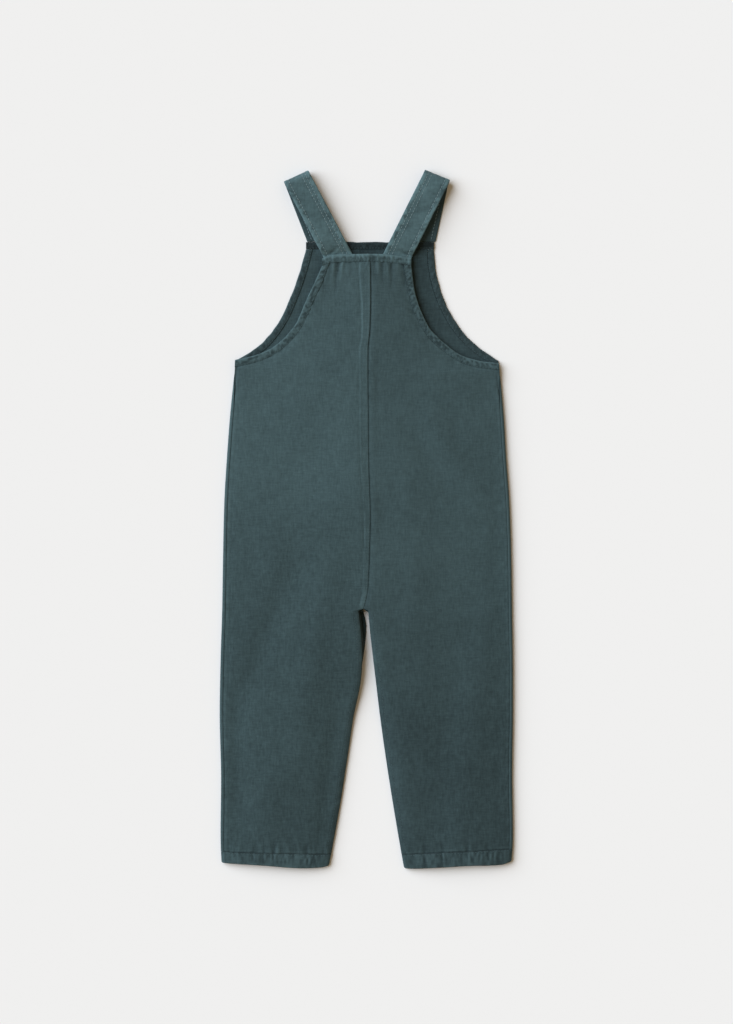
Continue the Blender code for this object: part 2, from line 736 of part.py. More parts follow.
def leg_hem_path(side, width):
    """Stations round a leg hem, from the inseam over the back to the side and home on the floor."""
    heights = heights_at(HEM_STITCH_INNER_Y)
    path = []
    for k in range(LEG_HEM_BACK_STATIONS + 1):
        distance = INSEAM_ROLL + (width - INSEAM_ROLL - SIDE_ROLL) * k / LEG_HEM_BACK_STATIONS
        share = distance / width
        base = 2.0 * INSEAM_ROLL + 2.0 * (SIDE_ROLL - INSEAM_ROLL) * share
        path.append((distance, base + heights.arch * arch(share), True))
    for k in range(1, LEG_HEM_ROLL_STATIONS):
        turn = math.pi * k / LEG_HEM_ROLL_STATIONS
        distance = width - SIDE_ROLL + SIDE_ROLL * math.sin(turn)
        path.append((distance, SIDE_ROLL * (1.0 + math.cos(turn)), False))
    for k in range(LEG_HEM_FLOOR_STATIONS + 1):
        distance = width - SIDE_ROLL - (width - INSEAM_ROLL - SIDE_ROLL) * k / LEG_HEM_FLOOR_STATIONS
        path.append((distance, 0.0, False))
    for k in range(1, LEG_HEM_ROLL_STATIONS):
        turn = math.pi * k / LEG_HEM_ROLL_STATIONS
        distance = INSEAM_ROLL - INSEAM_ROLL * math.sin(turn)
        path.append((distance, INSEAM_ROLL * (1.0 - math.cos(turn)), False))
    return path


def build_leg_hem(collection, side):
    """A leg's turned hem: one ring round the opening, with its puckers on the back."""
    column = side_column(side)
    stitch_inner = read(INSEAM, column, HEM_STITCH_INNER_Y)
    stitch_outer = silhouette_x(side, HEM_STITCH_OUTER_Y[side])
    edge_inner = read(INSEAM, column, INSEAM[-1].y)
    edge_outer = silhouette_x(side, SILHOUETTE[-1].y)
    width = abs(stitch_outer - stitch_inner)
    path = leg_hem_path(side, width)
    outer = []
    for distance, height, on_back in path:
        share = distance / width
        near_x = stitch_inner + (stitch_outer - stitch_inner) * share
        far_x = edge_inner + (edge_outer - edge_inner) * share
        near = Vector((near_x, hem_stitch_y(side, share) - HALF_GAP))
        far = Vector((far_x, read(HEM_EDGE, column, share)))
        if height < INSEAM_ROLL and not on_back:
            far.y += FRONT_HEM_INSET
        row = []
        for across in HEM_SHARES:
            plan = near.lerp(far, across)
            rise = 0.0
            if on_back:
                fade = min(1.0, LEG_FULLNESS_FADE * share, LEG_FULLNESS_FADE * (1.0 - share))
                drawn = LEG_PUCKER_SHARE * pucker(distance, ARMHOLE_HEM * across, side)
                rise = (LEG_HEM_FULLNESS + drawn) * fullness_at(LEG_FULLNESS, across) * fade
            row.append(Vector((plan.x, plan.y, height + rise)))
        outer.append(row)

    inner = moved(outer, lambda r, c: -LEG_HEM_WALL, -side, ring=True)
    return build_wall(collection, f"leg_hem_{SIDE_NAMES[side]}", outer, inner, ring=True)


def build_strap(collection, side):
    """A strap: up from under the back bib's hem, over a soft fold, and down the floor to the front bib."""
    plan = STRAP_PLAN[side]
    fold_way = Vector((-math.sin(plan.fold_slant), math.cos(plan.fold_slant)))
    fold = Vector(plan.fold) - fold_way * STRAP_LOOP
    back_end = Vector(plan.back_end)
    front_end = Vector(plan.front_end)
    back_way = (fold - back_end).normalized()
    front_way = (front_end - fold).normalized()
    back_slant = math.atan2(-back_way.x, back_way.y)
    front_slant = math.atan2(front_way.x, -front_way.y)
    rows = []

    def add_row(middle, height, slant, run_slant):
        half = Vector((math.cos(slant), math.sin(slant))) * STRAP_WIDTH / 2 / math.cos(slant - run_slant)
        row = []
        for k in range(STRAP_COLUMNS + 1):
            place = middle + half * (2.0 * k / STRAP_COLUMNS - 1.0)
            row.append(Vector((place.x, place.y, height)))
        rows.append(row)

    add_row(back_end - back_way * STRAP_TUCK, STRAP_BACK_ROWS[0].height, 0.0, back_slant)
    for row in STRAP_BACK_ROWS:
        slant = back_slant * min(1.0, row.share / STRAP_TURN)
        if row.share > 1.0 - STRAP_TURN:
            slant += (plan.fold_slant - back_slant) * (row.share - 1.0 + STRAP_TURN) / STRAP_TURN
        add_row(back_end.lerp(fold, row.share), row.height, slant, back_slant)
    for k in range(STRAP_FOLD_STEPS + 1):
        turn = math.pi * k / STRAP_FOLD_STEPS
        middle = fold + fold_way * STRAP_LOOP * math.sin(turn)
        add_row(middle, STRAP_LOOP * (1.0 + math.cos(turn)), plan.fold_slant, plan.fold_slant)
    for share in STRAP_FRONT_SHARES:
        slant = front_slant + (plan.fold_slant - front_slant) * max(0.0, 1.0 - share / STRAP_TURN)
        slant *= min(1.0, (1.0 - share) / STRAP_TURN)
        add_row(fold.lerp(front_end, share), 0.0, slant, front_slant)
    inner = moved(rows, lambda r, c: -STRAP_WALL, -1)
    return build_wall(collection, f"strap_{SIDE_NAMES[side]}", rows, inner)


def clear_scene():
    for piece in list(bpy.data.objects):
        bpy.data.objects.remove(piece)


def main():
    clear_scene()
    collection = bpy.data.collections.new("dungarees")
    bpy.context.scene.collection.children.link(collection)
    for side in (-1, 1):
        name = SIDE_NAMES[side]
        build_front(collection, side)
        build_back(collection, side)
        build_armhole_hem(
            collection, f"armhole_hem_back_{name}", side, back_stitch(side),
            PlanCurve(BACK_ARMHOLE[side]), ARMHOLE_STATIONS, back_edge_height,
        )
        build_armhole_hem(
            collection, f"armhole_hem_front_{name}", side, front_stitch(side),
            PlanCurve(FRONT_ARMHOLE[side]), FRONT_ARMHOLE_STATIONS, None,
        )
        build_leg_hem(collection, side)
        build_strap(collection, side)
    build_back_bib_hem(collection)
    build_front_bib_hem(collection)


main()
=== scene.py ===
"""Dungarees for a two year old, laid flat with the back up on a pale floor.

Metres, +Z up, and millimetres in the tables that say so. The straps point to +Y and the leg hems to -Y.
Every cloth piece is a thin closed shell of its own, on the form of the solid that it stands for, with
the creases, puckers and felled seam put in. The cut's tables are the ones that the solids are
made from.
"""

from __future__ import annotations

import logging
import math
from bisect import bisect_right
from dataclasses import dataclass, field
from enum import Enum
from typing import Callable, Iterator, NamedTuple, Sequence, TypeVar

import bpy
import numpy as np
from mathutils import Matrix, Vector

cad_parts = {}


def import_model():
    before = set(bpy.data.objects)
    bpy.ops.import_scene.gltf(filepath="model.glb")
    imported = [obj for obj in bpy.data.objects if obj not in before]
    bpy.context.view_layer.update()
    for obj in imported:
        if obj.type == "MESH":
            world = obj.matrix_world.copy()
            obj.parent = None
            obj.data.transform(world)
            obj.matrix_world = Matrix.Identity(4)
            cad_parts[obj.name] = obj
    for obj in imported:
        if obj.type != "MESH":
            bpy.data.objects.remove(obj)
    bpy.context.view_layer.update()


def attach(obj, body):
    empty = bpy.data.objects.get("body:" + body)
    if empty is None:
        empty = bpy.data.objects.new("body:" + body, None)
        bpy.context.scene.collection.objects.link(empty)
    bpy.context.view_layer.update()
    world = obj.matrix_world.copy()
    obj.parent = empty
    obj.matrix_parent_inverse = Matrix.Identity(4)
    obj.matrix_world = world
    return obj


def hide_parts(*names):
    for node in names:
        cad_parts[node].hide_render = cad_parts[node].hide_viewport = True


LOG = logging.getLogger("dungarees")
T = TypeVar("T")
Array = np.ndarray
Pair = tuple[float, float]
Colour = tuple[float, float, float]

BODY = "root"
GRAIN_MAP = "grain"
WEAR_AND_SHADE = "rub"
MM_PER_M = 1000.0


class Side(Enum):
    """The two halves of the garment, as they lie in plan: towards -X and towards +X."""

    LEFT = -1
    RIGHT = 1

    @property
    def sign(self) -> int:
        """-1 towards -X and +1 towards +X."""
        return self.value

    @property
    def title(self) -> str:
        """The word that piece names carry."""
        return self.name.lower()

    def pick(self, left: T, right: T) -> T:
        """The left half's value or the right half's."""
        return left if self is Side.LEFT else right


class Point(NamedTuple):
    """A place in plan."""

    x: float
    y: float


class Outline(NamedTuple):
    """Plan x of the left and right edge at a height y."""

    y: float
    left: float
    right: float


class Seam(NamedTuple):
    """Plan x of a seam at y, and the width of its felled band."""

    y: float
    x: float
    fell: float


class Height(NamedTuple):
    """Underside of the back at y: at the inner end, the arch between, and at the outer end."""

    y: float
    inner: float
    arch: float
    outer: float


class Wrap(NamedTuple):
    """How far the front's side edge is rolled round to the back at y, and the inset of the side seam."""

    y: float
    degrees: float
    inset: float


def mm(*values: float) -> tuple[float, ...]:
    """Metres from millimetres."""
    return tuple(value / MM_PER_M for value in values)


def table(kind: Callable[..., T], *rows: Sequence[float], unit: float = MM_PER_M) -> tuple[T, ...]:
    """Makes a table's rows from numbers, which are in millimetres unless the unit says otherwise."""
    return tuple(kind(*(value / unit for value in row)) for row in rows)


def hermite(knots: Sequence[float], values: Sequence[float], place: float) -> float:
    """Reads a smooth curve.

    Args:
        knots: Rising places.
        values: The values there.
        place: Where to read.

    Returns:
        The value at the place.
    """
    place = min(max(place, knots[0]), knots[-1])
    i = min(bisect_right(knots, place) - 1, len(knots) - 2)

    def slope(k: int) -> float:
        """Slope of the curve at a knot."""
        low, high = max(k - 1, 0), min(k + 1, len(knots) - 1)
        return (values[high] - values[low]) / (knots[high] - knots[low])

    span = knots[i + 1] - knots[i]
    t = (place - knots[i]) / span
    return (
        values[i] * (1 + 2 * t) * (1 - t) ** 2 + values[i + 1] * t * t * (3 - 2 * t)
        + slope(i) * span * t * (1 - t) ** 2 - slope(i + 1) * span * t * t * (1 - t)
    )


def read(rows: Sequence[NamedTuple], column: str, place: float) -> float:
    """Reads a table's column, on a smooth curve over its first column."""
    rows = sorted(rows)
    return hermite([row[0] for row in rows], [getattr(row, column) for row in rows], place)


def smooth(low: float, high: float, value: Array) -> Array:
    """A soft step from 0 at low to 1 at high."""
    t = np.clip((value - low) / (high - low), 0.0, 1.0)
    return t * t * (3.0 - 2.0 * t)


def bell(value: Array, width: float) -> Array:
    """One at zero, falling off softly over a width."""
    return np.exp(-((value / width) ** 2))


def edge_round(distance: Array, radius: float) -> Array:
    """Share of the full thickness at a distance from a rounded edge."""
    t = 1.0 - np.clip(distance / radius, 0.0, 1.0)
    return np.sqrt(np.maximum(1.0 - t * t, 0.0))


def arched(share: Array) -> Array:
    """Height of a flat-topped arch, 1 at the middle, by the share of its width."""
    return 1.0 - np.abs(2.0 * share - 1.0) ** 2.5


def walked(line: Array) -> Array:
    """Length of a line up to each of its points."""
    return np.concatenate([[0.0], np.cumsum(np.linalg.norm(np.diff(line, axis=0), axis=1))])


def spaced(length: float, near: Sequence[float], far: Sequence[float], pitch: float) -> Array:
    """Distances along a row or column, close at both ends and even between.

    Args:
        length: The whole length.
        near: Distances from the start.
        far: Distances from the end, falling to 0.
        pitch: Even spacing between.

    Returns:
        Rising distances from the first of near to the length.
    """
    count = max(2, round((length - near[-1] - far[0]) / pitch))
    middle = near[-1] + (length - far[0] - near[-1]) * np.arange(1, count) / count
    return np.concatenate([near, middle, length - np.asarray(far)])


class PlanCurve:
    """A smooth curve in plan through a few points, read by the share of its length."""

    STEPS = 12
    REACH = 0.01

    def __init__(self, points: Sequence[Sequence[float]]) -> None:
        """Lays the curve through plan places, in order."""
        knots = walked(np.array(points)).tolist()
        count = self.STEPS * (len(points) - 1)
        columns = list(zip(*points))
        places = [knots[-1] * k / count for k in range(count + 1)]
        self.line = np.array([[hermite(knots, column, t) for column in columns] for t in places])
        self.reach = walked(self.line)

    @property
    def length(self) -> float:
        """Length of the curve in metres."""
        return float(self.reach[-1])

    def at(self, share: Array | float) -> Array:
        """Places at shares of the length."""
        goal = np.asarray(share) * self.length
        return np.stack([np.interp(goal, self.reach, self.line[:, k]) for k in (0, 1)], -1)

    def beside(self, share: Array | float, distance: float) -> Array:
        """Places at a distance to the right of the curve's way."""
        share = np.asarray(share, float)
        way = self.at(np.minimum(share + self.REACH, 1.0)) - self.at(np.maximum(share - self.REACH, 0.0))
        way /= np.linalg.norm(way, axis=-1, keepdims=True)
        return self.at(share) + np.stack([way[..., 1], -way[..., 0]], -1) * distance


@dataclass(frozen=True)
class Crumple:
    """Soft uneven relief, the same in every run.

    Attributes:
        size: Rough size of one rise in metres.
        rise: Largest rise.
        seed: Which of the patterns.
        stretch: How much longer the rises are along y than across.
    """

    size: float
    rise: float
    seed: int
    stretch: float = 1.0
    CELLS: int = 64

    def at(self, x: Array, y: Array) -> Array:
        """Rises from about -rise to rise at places."""
        n = self.CELLS
        lattice = np.random.default_rng(self.seed).uniform(-1.0, 1.0, (n, n))
        u = np.asarray(x) / self.size + 17.3
        v = np.asarray(y) / (self.size * self.stretch) + 31.7
        i, j = np.floor(u).astype(int), np.floor(v).astype(int)
        a, b = ((t * t * (3 - 2 * t)) for t in (u - i, v - j))
        low, high = (
            lattice[i % n, k % n] * (1 - a) + lattice[(i + 1) % n, k % n] * a for k in (j, j + 1)
        )
        return self.rise * (low * (1 - b) + high * b)

    def along(self, x: Array) -> Array:
        """Rises along a line."""
        return self.at(x, 0.0 * x)


@dataclass(frozen=True)
class Puckers:
    """The uneven ridges that sewing draws up along a seam.

    Attributes:
        pitch: Mean distance between ridges in metres.
        rise: Largest rise in metres.
        seed: Which of the patterns.
        slant: How far the ridges lean, along for each metre across.
        reach: Mean length of a ridge across the seam, or 0 where every ridge runs on.
    """

    pitch: float
    rise: float
    seed: int
    slant: float = 0.35
    reach: float = 0.0
    SPAN: Pair = (-0.60, 0.90)
    LEAST: tuple[float, ...] = (0.45, 0.16, 0.25, -0.5, 0.5)
    MOST: tuple[float, ...] = (1.65, 0.34, 1.0, 0.5, 1.6)

    def at(self, along: Array, across: Array) -> Array:
        """Rises of uneven height, width, length and spacing, at places along and across the seam."""
        rng = np.random.default_rng(self.seed)
        along, across = np.broadcast_arrays(along, across)
        low, high = float(along.min()), float(along.max())
        total = np.zeros(along.shape)
        spot = self.SPAN[0]
        while spot < self.SPAN[1]:
            step, width, height, lean, length = rng.uniform(self.LEAST, self.MOST)
            spot += step * self.pitch
            if low - self.pitch * 2.0 < spot < high + self.pitch * 2.0:
                away = along + (self.slant + lean) * across - spot
                ridge = bell(away, width * self.pitch) - 0.45 * bell(away, width * self.pitch * 2.1)
                if self.reach:
                    ridge = ridge * bell(across, self.reach * length)
                total += height * ridge
        return self.rise * 1.5 * total


class Crease(NamedTuple):
    """One soft crease or fold: a line in plan, its width, and its rise or fall."""

    x0: float
    y0: float
    x1: float
    y1: float
    width: float
    rise: float

    def reach(self, x: Array, y: Array) -> tuple[Array, Array]:
        """Shares along the line, and distances from it, of places in plan."""
        run = np.array([self.x1 - self.x0, self.y1 - self.y0])
        size = float(run @ run)
        along = np.clip(((x - self.x0) * run[0] + (y - self.y0) * run[1]) / size, 0.0, 1.0)
        return along, np.hypot(x - self.x0 - run[0] * along, y - self.y0 - run[1] * along)

    def at(self, x: Array, y: Array) -> Array:
        """Rise at places in plan, fading towards the line's end."""
        along, away = self.reach(x, y)
        return self.rise * np.sqrt(1.0 - along * 0.98) * bell(away, self.width)

    def swell(self, x: Array, y: Array) -> Array:
        """Rise at places in plan, fading towards both ends."""
        along, away = self.reach(x, y)
        return self.rise * np.sin(math.pi * (0.12 + 0.76 * along)) * bell(away, self.width)


Creases = tuple[Crease, ...]


class StrapPlan(NamedTuple):
    """Plan places of the middle of a strap, and the slant of its fold."""

    back_end: Pair
    fold: Pair
    front_end: Pair
    slant: float


STRAP_PLANS = (
    StrapPlan((-0.0289, 0.2745), (-0.0740, 0.3605), (-0.0470, 0.2917), math.radians(24.0)),
    StrapPlan((0.0315, 0.2745), (0.0747, 0.3617), (0.0580, 0.2917), math.radians(-22.5)),
)

# Plan y and lightness of each half, from 0 to 1 with 0.5 as it is: painted light falloff, lighter towards the bib
# and darker towards the leg hems.
PAINTED_FALLOFF = (
    (
        (-0.360, 0.26), (-0.300, 0.28), (-0.220, 0.36), (-0.130, 0.33), (-0.030, 0.42), (0.060, 0.58),
        (0.120, 0.60), (0.200, 0.55), (0.290, 0.57),
    ),
    (
        (-0.360, 0.26), (-0.300, 0.27), (-0.220, 0.27), (-0.130, 0.43), (-0.030, 0.56), (0.060, 0.61),
        (0.120, 0.62), (0.200, 0.57), (0.290, 0.57),
    ),
)

# Creases of each half of the back and of each strap, across and along it, in millimetres.
BACK_CREASES = (
    table(
        Crease,
        (-38.5, 266.5, -41.2, 240.0, 1.7, -0.3), (-34.5, 267.5, -36.2, 249.0, 1.6, 0.4),
        (-30.0, 268.5, -32.8, 237.0, 2.1, -0.7), (-25.0, 268.8, -25.8, 252.0, 1.6, 0.4),
        (-17.0, 269.2, -16.4, 254.0, 1.8, -0.34), (-47.0, 256.0, -43.5, 230.0, 2.1, -0.5),
        (-59.0, 233.0, -50.0, 217.0, 2.4, -0.4), (-70.0, 209.0, -59.0, 196.0, 2.6, -0.4),
        (-93.0, 181.0, -83.0, 167.0, 2.8, -0.36), (-66.0, 217.0, -56.0, 205.0, 2.2, 0.3),
        (-136.5, 160.0, -138.6, 132.8, 0.9, -0.7), (-118.7, -350.0, -116.5, -339.0, 1.6, -0.5),
        (-108.0, -350.5, -107.5, -342.0, 1.4, -0.36), (-97.1, -351.0, -94.8, -334.0, 1.8, -0.6),
        (-93.0, -351.0, -91.2, -340.0, 1.5, 0.34), (-62.0, -352.5, -63.4, -340.0, 1.7, -0.5),
        (-134.0, -349.0, -133.4, -338.0, 1.8, 0.36),
    ),
    table(
        Crease,
        (7.8, 269.5, 8.4, 248.0, 2.1, -0.55), (12.0, 269.5, 13.0, 256.0, 1.6, 0.36),
        (16.5, 269.5, 17.2, 248.0, 1.8, -0.5), (21.5, 269.2, 23.0, 253.0, 1.6, 0.36),
        (26.2, 269.0, 27.5, 244.0, 2.0, -0.6), (33.0, 268.2, 34.2, 254.0, 1.7, 0.34),
        (39.0, 267.2, 40.8, 245.0, 2.0, -0.55), (44.8, 266.0, 45.0, 254.0, 1.6, -0.4),
        (54.0, 225.0, 45.0, 212.0, 2.4, -0.4), (70.0, 196.0, 60.0, 184.0, 2.6, -0.36),
        (95.0, 174.0, 87.0, 160.0, 2.6, -0.34), (137.1, 149.6, 143.8, 105.5, 0.8, -0.5),
        (61.0, -352.0, 60.5, -340.0, 1.6, -0.4), (79.5, -351.0, 78.8, -338.0, 1.6, -0.46),
        (106.0, -349.0, 104.8, -334.0, 1.8, -0.5), (110.0, -349.0, 109.4, -339.0, 1.5, 0.3),
        (127.5, -348.0, 126.2, -337.0, 1.6, -0.42),
    ),
)
STRAP_CREASES = (
    table(
        Crease,
        (6.0, 10.0, 19.0, 16.5, 1.2, 0.5), (8.0, 13.0, 20.0, 20.0, 1.4, -0.5),
        (24.0, 33.0, 12.0, 40.0, 2.4, -0.26), (4.0, 62.0, 17.0, 56.0, 2.4, -0.26),
        (20.0, 84.0, 10.0, 90.0, 2.2, 0.26),
    ),
    table(
        Crease,
        (23.0, 12.0, 11.0, 18.0, 1.4, -0.4), (22.0, 10.0, 12.0, 15.0, 1.2, 0.34),
        (5.0, 38.0, 16.0, 45.0, 2.4, -0.26), (24.0, 70.0, 13.0, 64.0, 2.4, -0.24),
        (9.0, 86.0, 19.0, 92.0, 2.2, 0.24),
    ),
)

# Deep puckers of each leg hem: plan x and depth, in millimetres.
HEM_CREASES = (
    (mm(-118.7, 0.6), mm(-108.2, 0.5), mm(-97.7, 0.9), mm(-62.0, 0.6)),
    (mm(61.0, 0.5), mm(79.5, 0.6), mm(106.0, 0.6), mm(127.5, 0.5)),
)


@dataclass(frozen=True)
class Cut:
    """The garment's cut and lie: every outline and height that the pieces share.

    Single sizes are in metres. Tables are in millimetres, apart from the wraps, whose angles are degrees,
    and the hem's edge, which goes by the share of the leg's width. Pairs are for left and right.
    """

    wall: float = 0.0012
    strap_wall: float = 0.0018
    leg_hem_wall: float = 0.0019
    half_gap: float = 0.00003
    armhole_hem: float = 0.0074
    front_armhole_hem: float = 0.0070
    side_roll: float = 0.0026
    side_lip: float = 0.0009
    inseam_roll: float = 0.0022
    inseam_drop: float = 0.0014
    inseam_drop_width: float = 0.006
    front_inseam_inset: float = 0.0008
    inseam_lift_width: float = 0.0090
    inseam_lift_gap: float = 0.0004
    crotch_ramp_top: float = -0.0770
    front_crotch_drop: float = 0.0034
    crotch_y: float = -0.0955
    hem_stitch_inner_y: float = -0.3528
    hem_stitch_outer_y: Pair = (-0.3499, -0.3470)
    hem_slant_end_y: float = -0.2600
    even_rows_top: float = 0.1120
    body_top: float = 0.1500
    front_bib_top: float = 0.2914
    front_bib_stitch: float = 0.2841
    armhole_hem_end: float = 0.415
    bib_half_width: float = 0.040
    front_crotch: tuple[Outline, ...] = table(
        Outline,
        (-160.0, 0.0, 0.0), (-140.0, 2.6, 0.0), (-122.0, 5.6, 0.0), (-108.0, 7.0, 0.0), (-97.0, 5.2, 0.0),
    )
    silhouette: tuple[Outline, ...] = table(
        Outline,
        (166.4, -138.0, 138.7), (151.7, -139.2, 140.5), (107.6, -143.6, 144.4), (63.5, -146.9, 147.0),
        (19.4, -149.5, 150.2), (-39.4, -150.9, 152.3), (-98.2, -151.9, 153.1), (-144.4, -153.4, 153.9),
        (-207.4, -154.4, 154.0), (-270.4, -153.0, 153.2), (-333.4, -153.5, 154.0), (-366.0, -152.5, 152.6),
    )
    inseam: tuple[Outline, ...] = table(
        Outline,
        (-96.6, -8.1, 1.7), (-123.4, -5.3, 4.2), (-143.3, -4.4, 6.5), (-171.7, -6.1, 9.9),
        (-207.4, -13.4, 14.2), (-245.2, -19.1, 19.4), (-295.6, -26.9, 27.2), (-346.0, -35.9, 35.7),
        (-366.0, -39.4, 39.4),
    )
    centre_back: tuple[Seam, ...] = table(
        Seam,
        (280.0, 4.2, 11.8), (229.0, 4.6, 10.0), (198.0, 3.7, 8.6), (178.0, 1.9, 8.4), (103.0, 2.1, 8.4),
        (56.0, 2.6, 8.0), (1.6, 4.2, 6.0), (-38.0, 3.2, 5.6), (-58.0, 2.5, 5.2), (-78.0, 0.8, 4.6),
        (-95.5, -3.5, 4.0),
    )
    centre_front: tuple[Seam, ...] = table(Seam, (292.0, -6.6, 0.0), (-95.5, -3.5, 0.0))
    back_armhole: tuple[tuple[Point, ...], ...] = (
        table(
            Point,
            (-138.2, 167.2), (-114.0, 173.1), (-97.3, 181.4), (-83.0, 193.8), (-72.5, 208.4), (-63.8, 229.1),
            (-53.8, 249.9), (-46.7, 265.9),
        ),
        table(
            Point,
            (139.0, 164.0), (116.4, 166.8), (97.8, 173.1), (81.2, 185.5), (66.7, 200.0), (58.3, 216.7),
            (51.0, 237.4), (47.0, 266.4),
        ),
    )
    front_armhole: tuple[tuple[Point, ...], ...] = (
        table(
            Point,
            (-138.0, 166.4), (-114.3, 181.1), (-100.4, 195.8), (-90.2, 210.5), (-83.2, 225.2),
            (-72.0, 254.6), (-67.1, 271.4), (-63.6, 283.8),
        ),
        table(
            Point,
            (138.7, 166.4), (117.4, 181.1), (102.1, 195.8), (91.9, 210.5), (83.7, 225.2), (73.9, 254.6),
            (71.6, 271.4), (71.1, 283.8),
        ),
    )
    back_bib_edge: tuple[Point, ...] = table(
        Point,
        (-46.5, 273.7), (-37.8, 277.2), (-9.5, 278.3), (15.8, 278.3), (47.1, 274.6),
    )
    back_bib_stitch: tuple[Point, ...] = table(
        Point,
        (-46.7, 266.2), (-37.8, 268.8), (-20.0, 270.0), (18.0, 269.7), (47.0, 266.7),
    )
    hem_edge: tuple[Outline, ...] = table(
        Outline, (0.00, -0.3645, -0.3672), (0.08, -0.3664, -0.3676), (0.30, -0.3668, -0.3665),
        (0.60, -0.3642, -0.3645), (0.90, -0.3622, -0.3634), (1.00, -0.3614, -0.3600), unit=1.0,
    )
    back_heights: tuple[Height, ...] = table(
        Height,
        (270.0, 7.4, 0.4, 6.0), (220.0, 8.8, 0.4, 6.0), (170.0, 10.0, 0.5, 4.6), (100.0, 11.2, 0.7, 3.9),
        (0.0, 11.4, 1.0, 3.9), (-50.0, 11.2, 1.2, 3.9), (-95.5, 11.6, 1.0, 3.9), (-125.0, 10.8, 1.2, 3.9),
        (-150.0, 9.2, 1.8, 3.9), (-180.0, 6.6, 2.8, 3.9), (-215.0, 3.8, 4.0, 3.9), (-245.0, 3.0, 4.3, 3.9),
        (-352.8, 3.0, 3.8, 3.9),
    )
    wraps: tuple[Wrap, ...] = table(
        Wrap, (-0.3528, 180.0, 0.0038), (0.1120, 180.0, 0.0038), (0.1320, 140.0, 0.0030),
        (0.1430, 92.0, 0.0008), (0.1500, 0.0, 0.0003), unit=1.0,
    )
    folds: Creases = table(
        Crease,
        (-71.0, -38.0, -137.0, -210.0, 15.0, -2.1), (-136.0, -165.0, -133.0, -352.0, 11.0, -1.2),
        (-42.0, -36.0, -76.0, -262.0, 17.0, 1.7), (-100.0, -220.0, -104.0, -350.0, 15.0, 0.9),
        (-28.0, -180.0, -50.0, -352.0, 9.5, -1.2), (-112.0, 20.0, -98.0, -60.0, 14.0, 0.6),
        (-60.0, 150.0, -90.0, 60.0, 20.0, 0.6), (62.0, 114.0, 112.0, 34.0, 10.0, 1.1),
        (43.0, 96.0, 95.0, 18.0, 10.0, -1.0), (28.0, 60.0, 60.0, 6.0, 9.0, 0.5),
        (92.0, -130.0, 72.0, -345.0, 19.0, -1.6), (30.0, -190.0, 46.0, -345.0, 11.0, 1.1),
        (130.0, -60.0, 118.0, -200.0, 15.0, 0.8), (60.0, -30.0, 50.0, -120.0, 15.0, 0.6),
    )

    def silhouette_x(self, side: Side, y: float) -> float:
        """Plan x of the garment's side edge at y."""
        return read(self.silhouette, side.title, y)

    def inner_x(self, side: Side, y: float, seam: Sequence[Seam]) -> float:
        """Plan x of a panel's inner end at y: the centre seam above the crotch, the inseam below it."""
        if y >= self.crotch_y:
            return read(seam, "x", y) + side.sign * self.half_gap
        return read(self.inseam, side.title, y)

    def inseam_lift(self, y: float) -> float:
        """How far the front's inner edge stands off the floor, up to the back's edge from the crotch down."""
        if y >= self.crotch_ramp_top:
            return 0.0
        ramp = float(smooth(0.0, self.crotch_ramp_top - self.crotch_y, self.crotch_ramp_top - y))
        under_back = read(self.back_heights, "inner", min(y, self.crotch_y)) - self.inseam_drop - self.wall
        return max(0.0, under_back - self.inseam_lift_gap) * ramp

    def front_crotch_reach(self, side: Side, y: float) -> float:
        """How far the front reaches past the inseam, into the gap between the legs."""
        return read(self.front_crotch, side.title, y) if y < self.crotch_y else 0.0

    def hem_stitch_y(self, side: Side, share: Array | float) -> Array | float:
        """Plan y of the leg hem's stitch line, by the share of the leg's width from the inseam."""
        return self.hem_stitch_inner_y + (side.pick(*self.hem_stitch_outer_y) - self.hem_stitch_inner_y) * share

    def armhole(self, side: Side, front: bool) -> tuple[Point, ...]:
        """Edge of an armhole, from the side seam up."""
        return side.pick(*(self.front_armhole if front else self.back_armhole))

    def armhole_stitch(self, side: Side, front: bool) -> PlanCurve:
        """Inner line of an armhole hem, from the side seam up."""
        armhole = self.armhole(side, front)
        if front:
            hem = self.front_armhole_hem
            end = (armhole[-1].x - side.sign * hem, self.front_bib_stitch)
        else:
            hem = self.armhole_hem
            end = PlanCurve(self.back_bib_stitch).at(0.5 + side.sign * self.armhole_hem_end)
        edge = PlanCurve(armhole)
        low = armhole[0].y - hem
        between = [tuple(edge.beside(k / 8, -side.sign * hem)) for k in range(1, 8)]
        return PlanCurve([(self.silhouette_x(side, low), low), *between, tuple(end)])

    def bib_stitch_y(self, x: float) -> float:
        """Plan y of the back bib hem's stitch line at x."""
        return read(self.back_bib_stitch, "y", x)

    def heights_at(self, y: float) -> Height:
        """Underside heights of the back at y."""
        return Height(y, *(read(self.back_heights, column, y) for column in ("inner", "arch", "outer")))

    def wrap_at(self, y: float) -> Wrap:
        """The side edge's roll at y."""
        ys, *columns = zip(*self.wraps)
        return Wrap(y, *(float(np.interp(y, ys, column)) for column in columns))

    def outer_y(self, side: Side, y: float, underarm: float) -> float:
        """Plan y of a row's outer end: it follows the hem's slant below and the underarm above."""
        if y < self.hem_slant_end_y:
            share = (self.hem_slant_end_y - y) / (self.hem_slant_end_y - self.hem_stitch_inner_y)
            return y + share * (side.pick(*self.hem_stitch_outer_y) - self.hem_stitch_inner_y)
        if y > self.even_rows_top:
            share = (y - self.even_rows_top) / (self.body_top - self.even_rows_top)
            return y + share * (underarm - self.body_top)
        return y

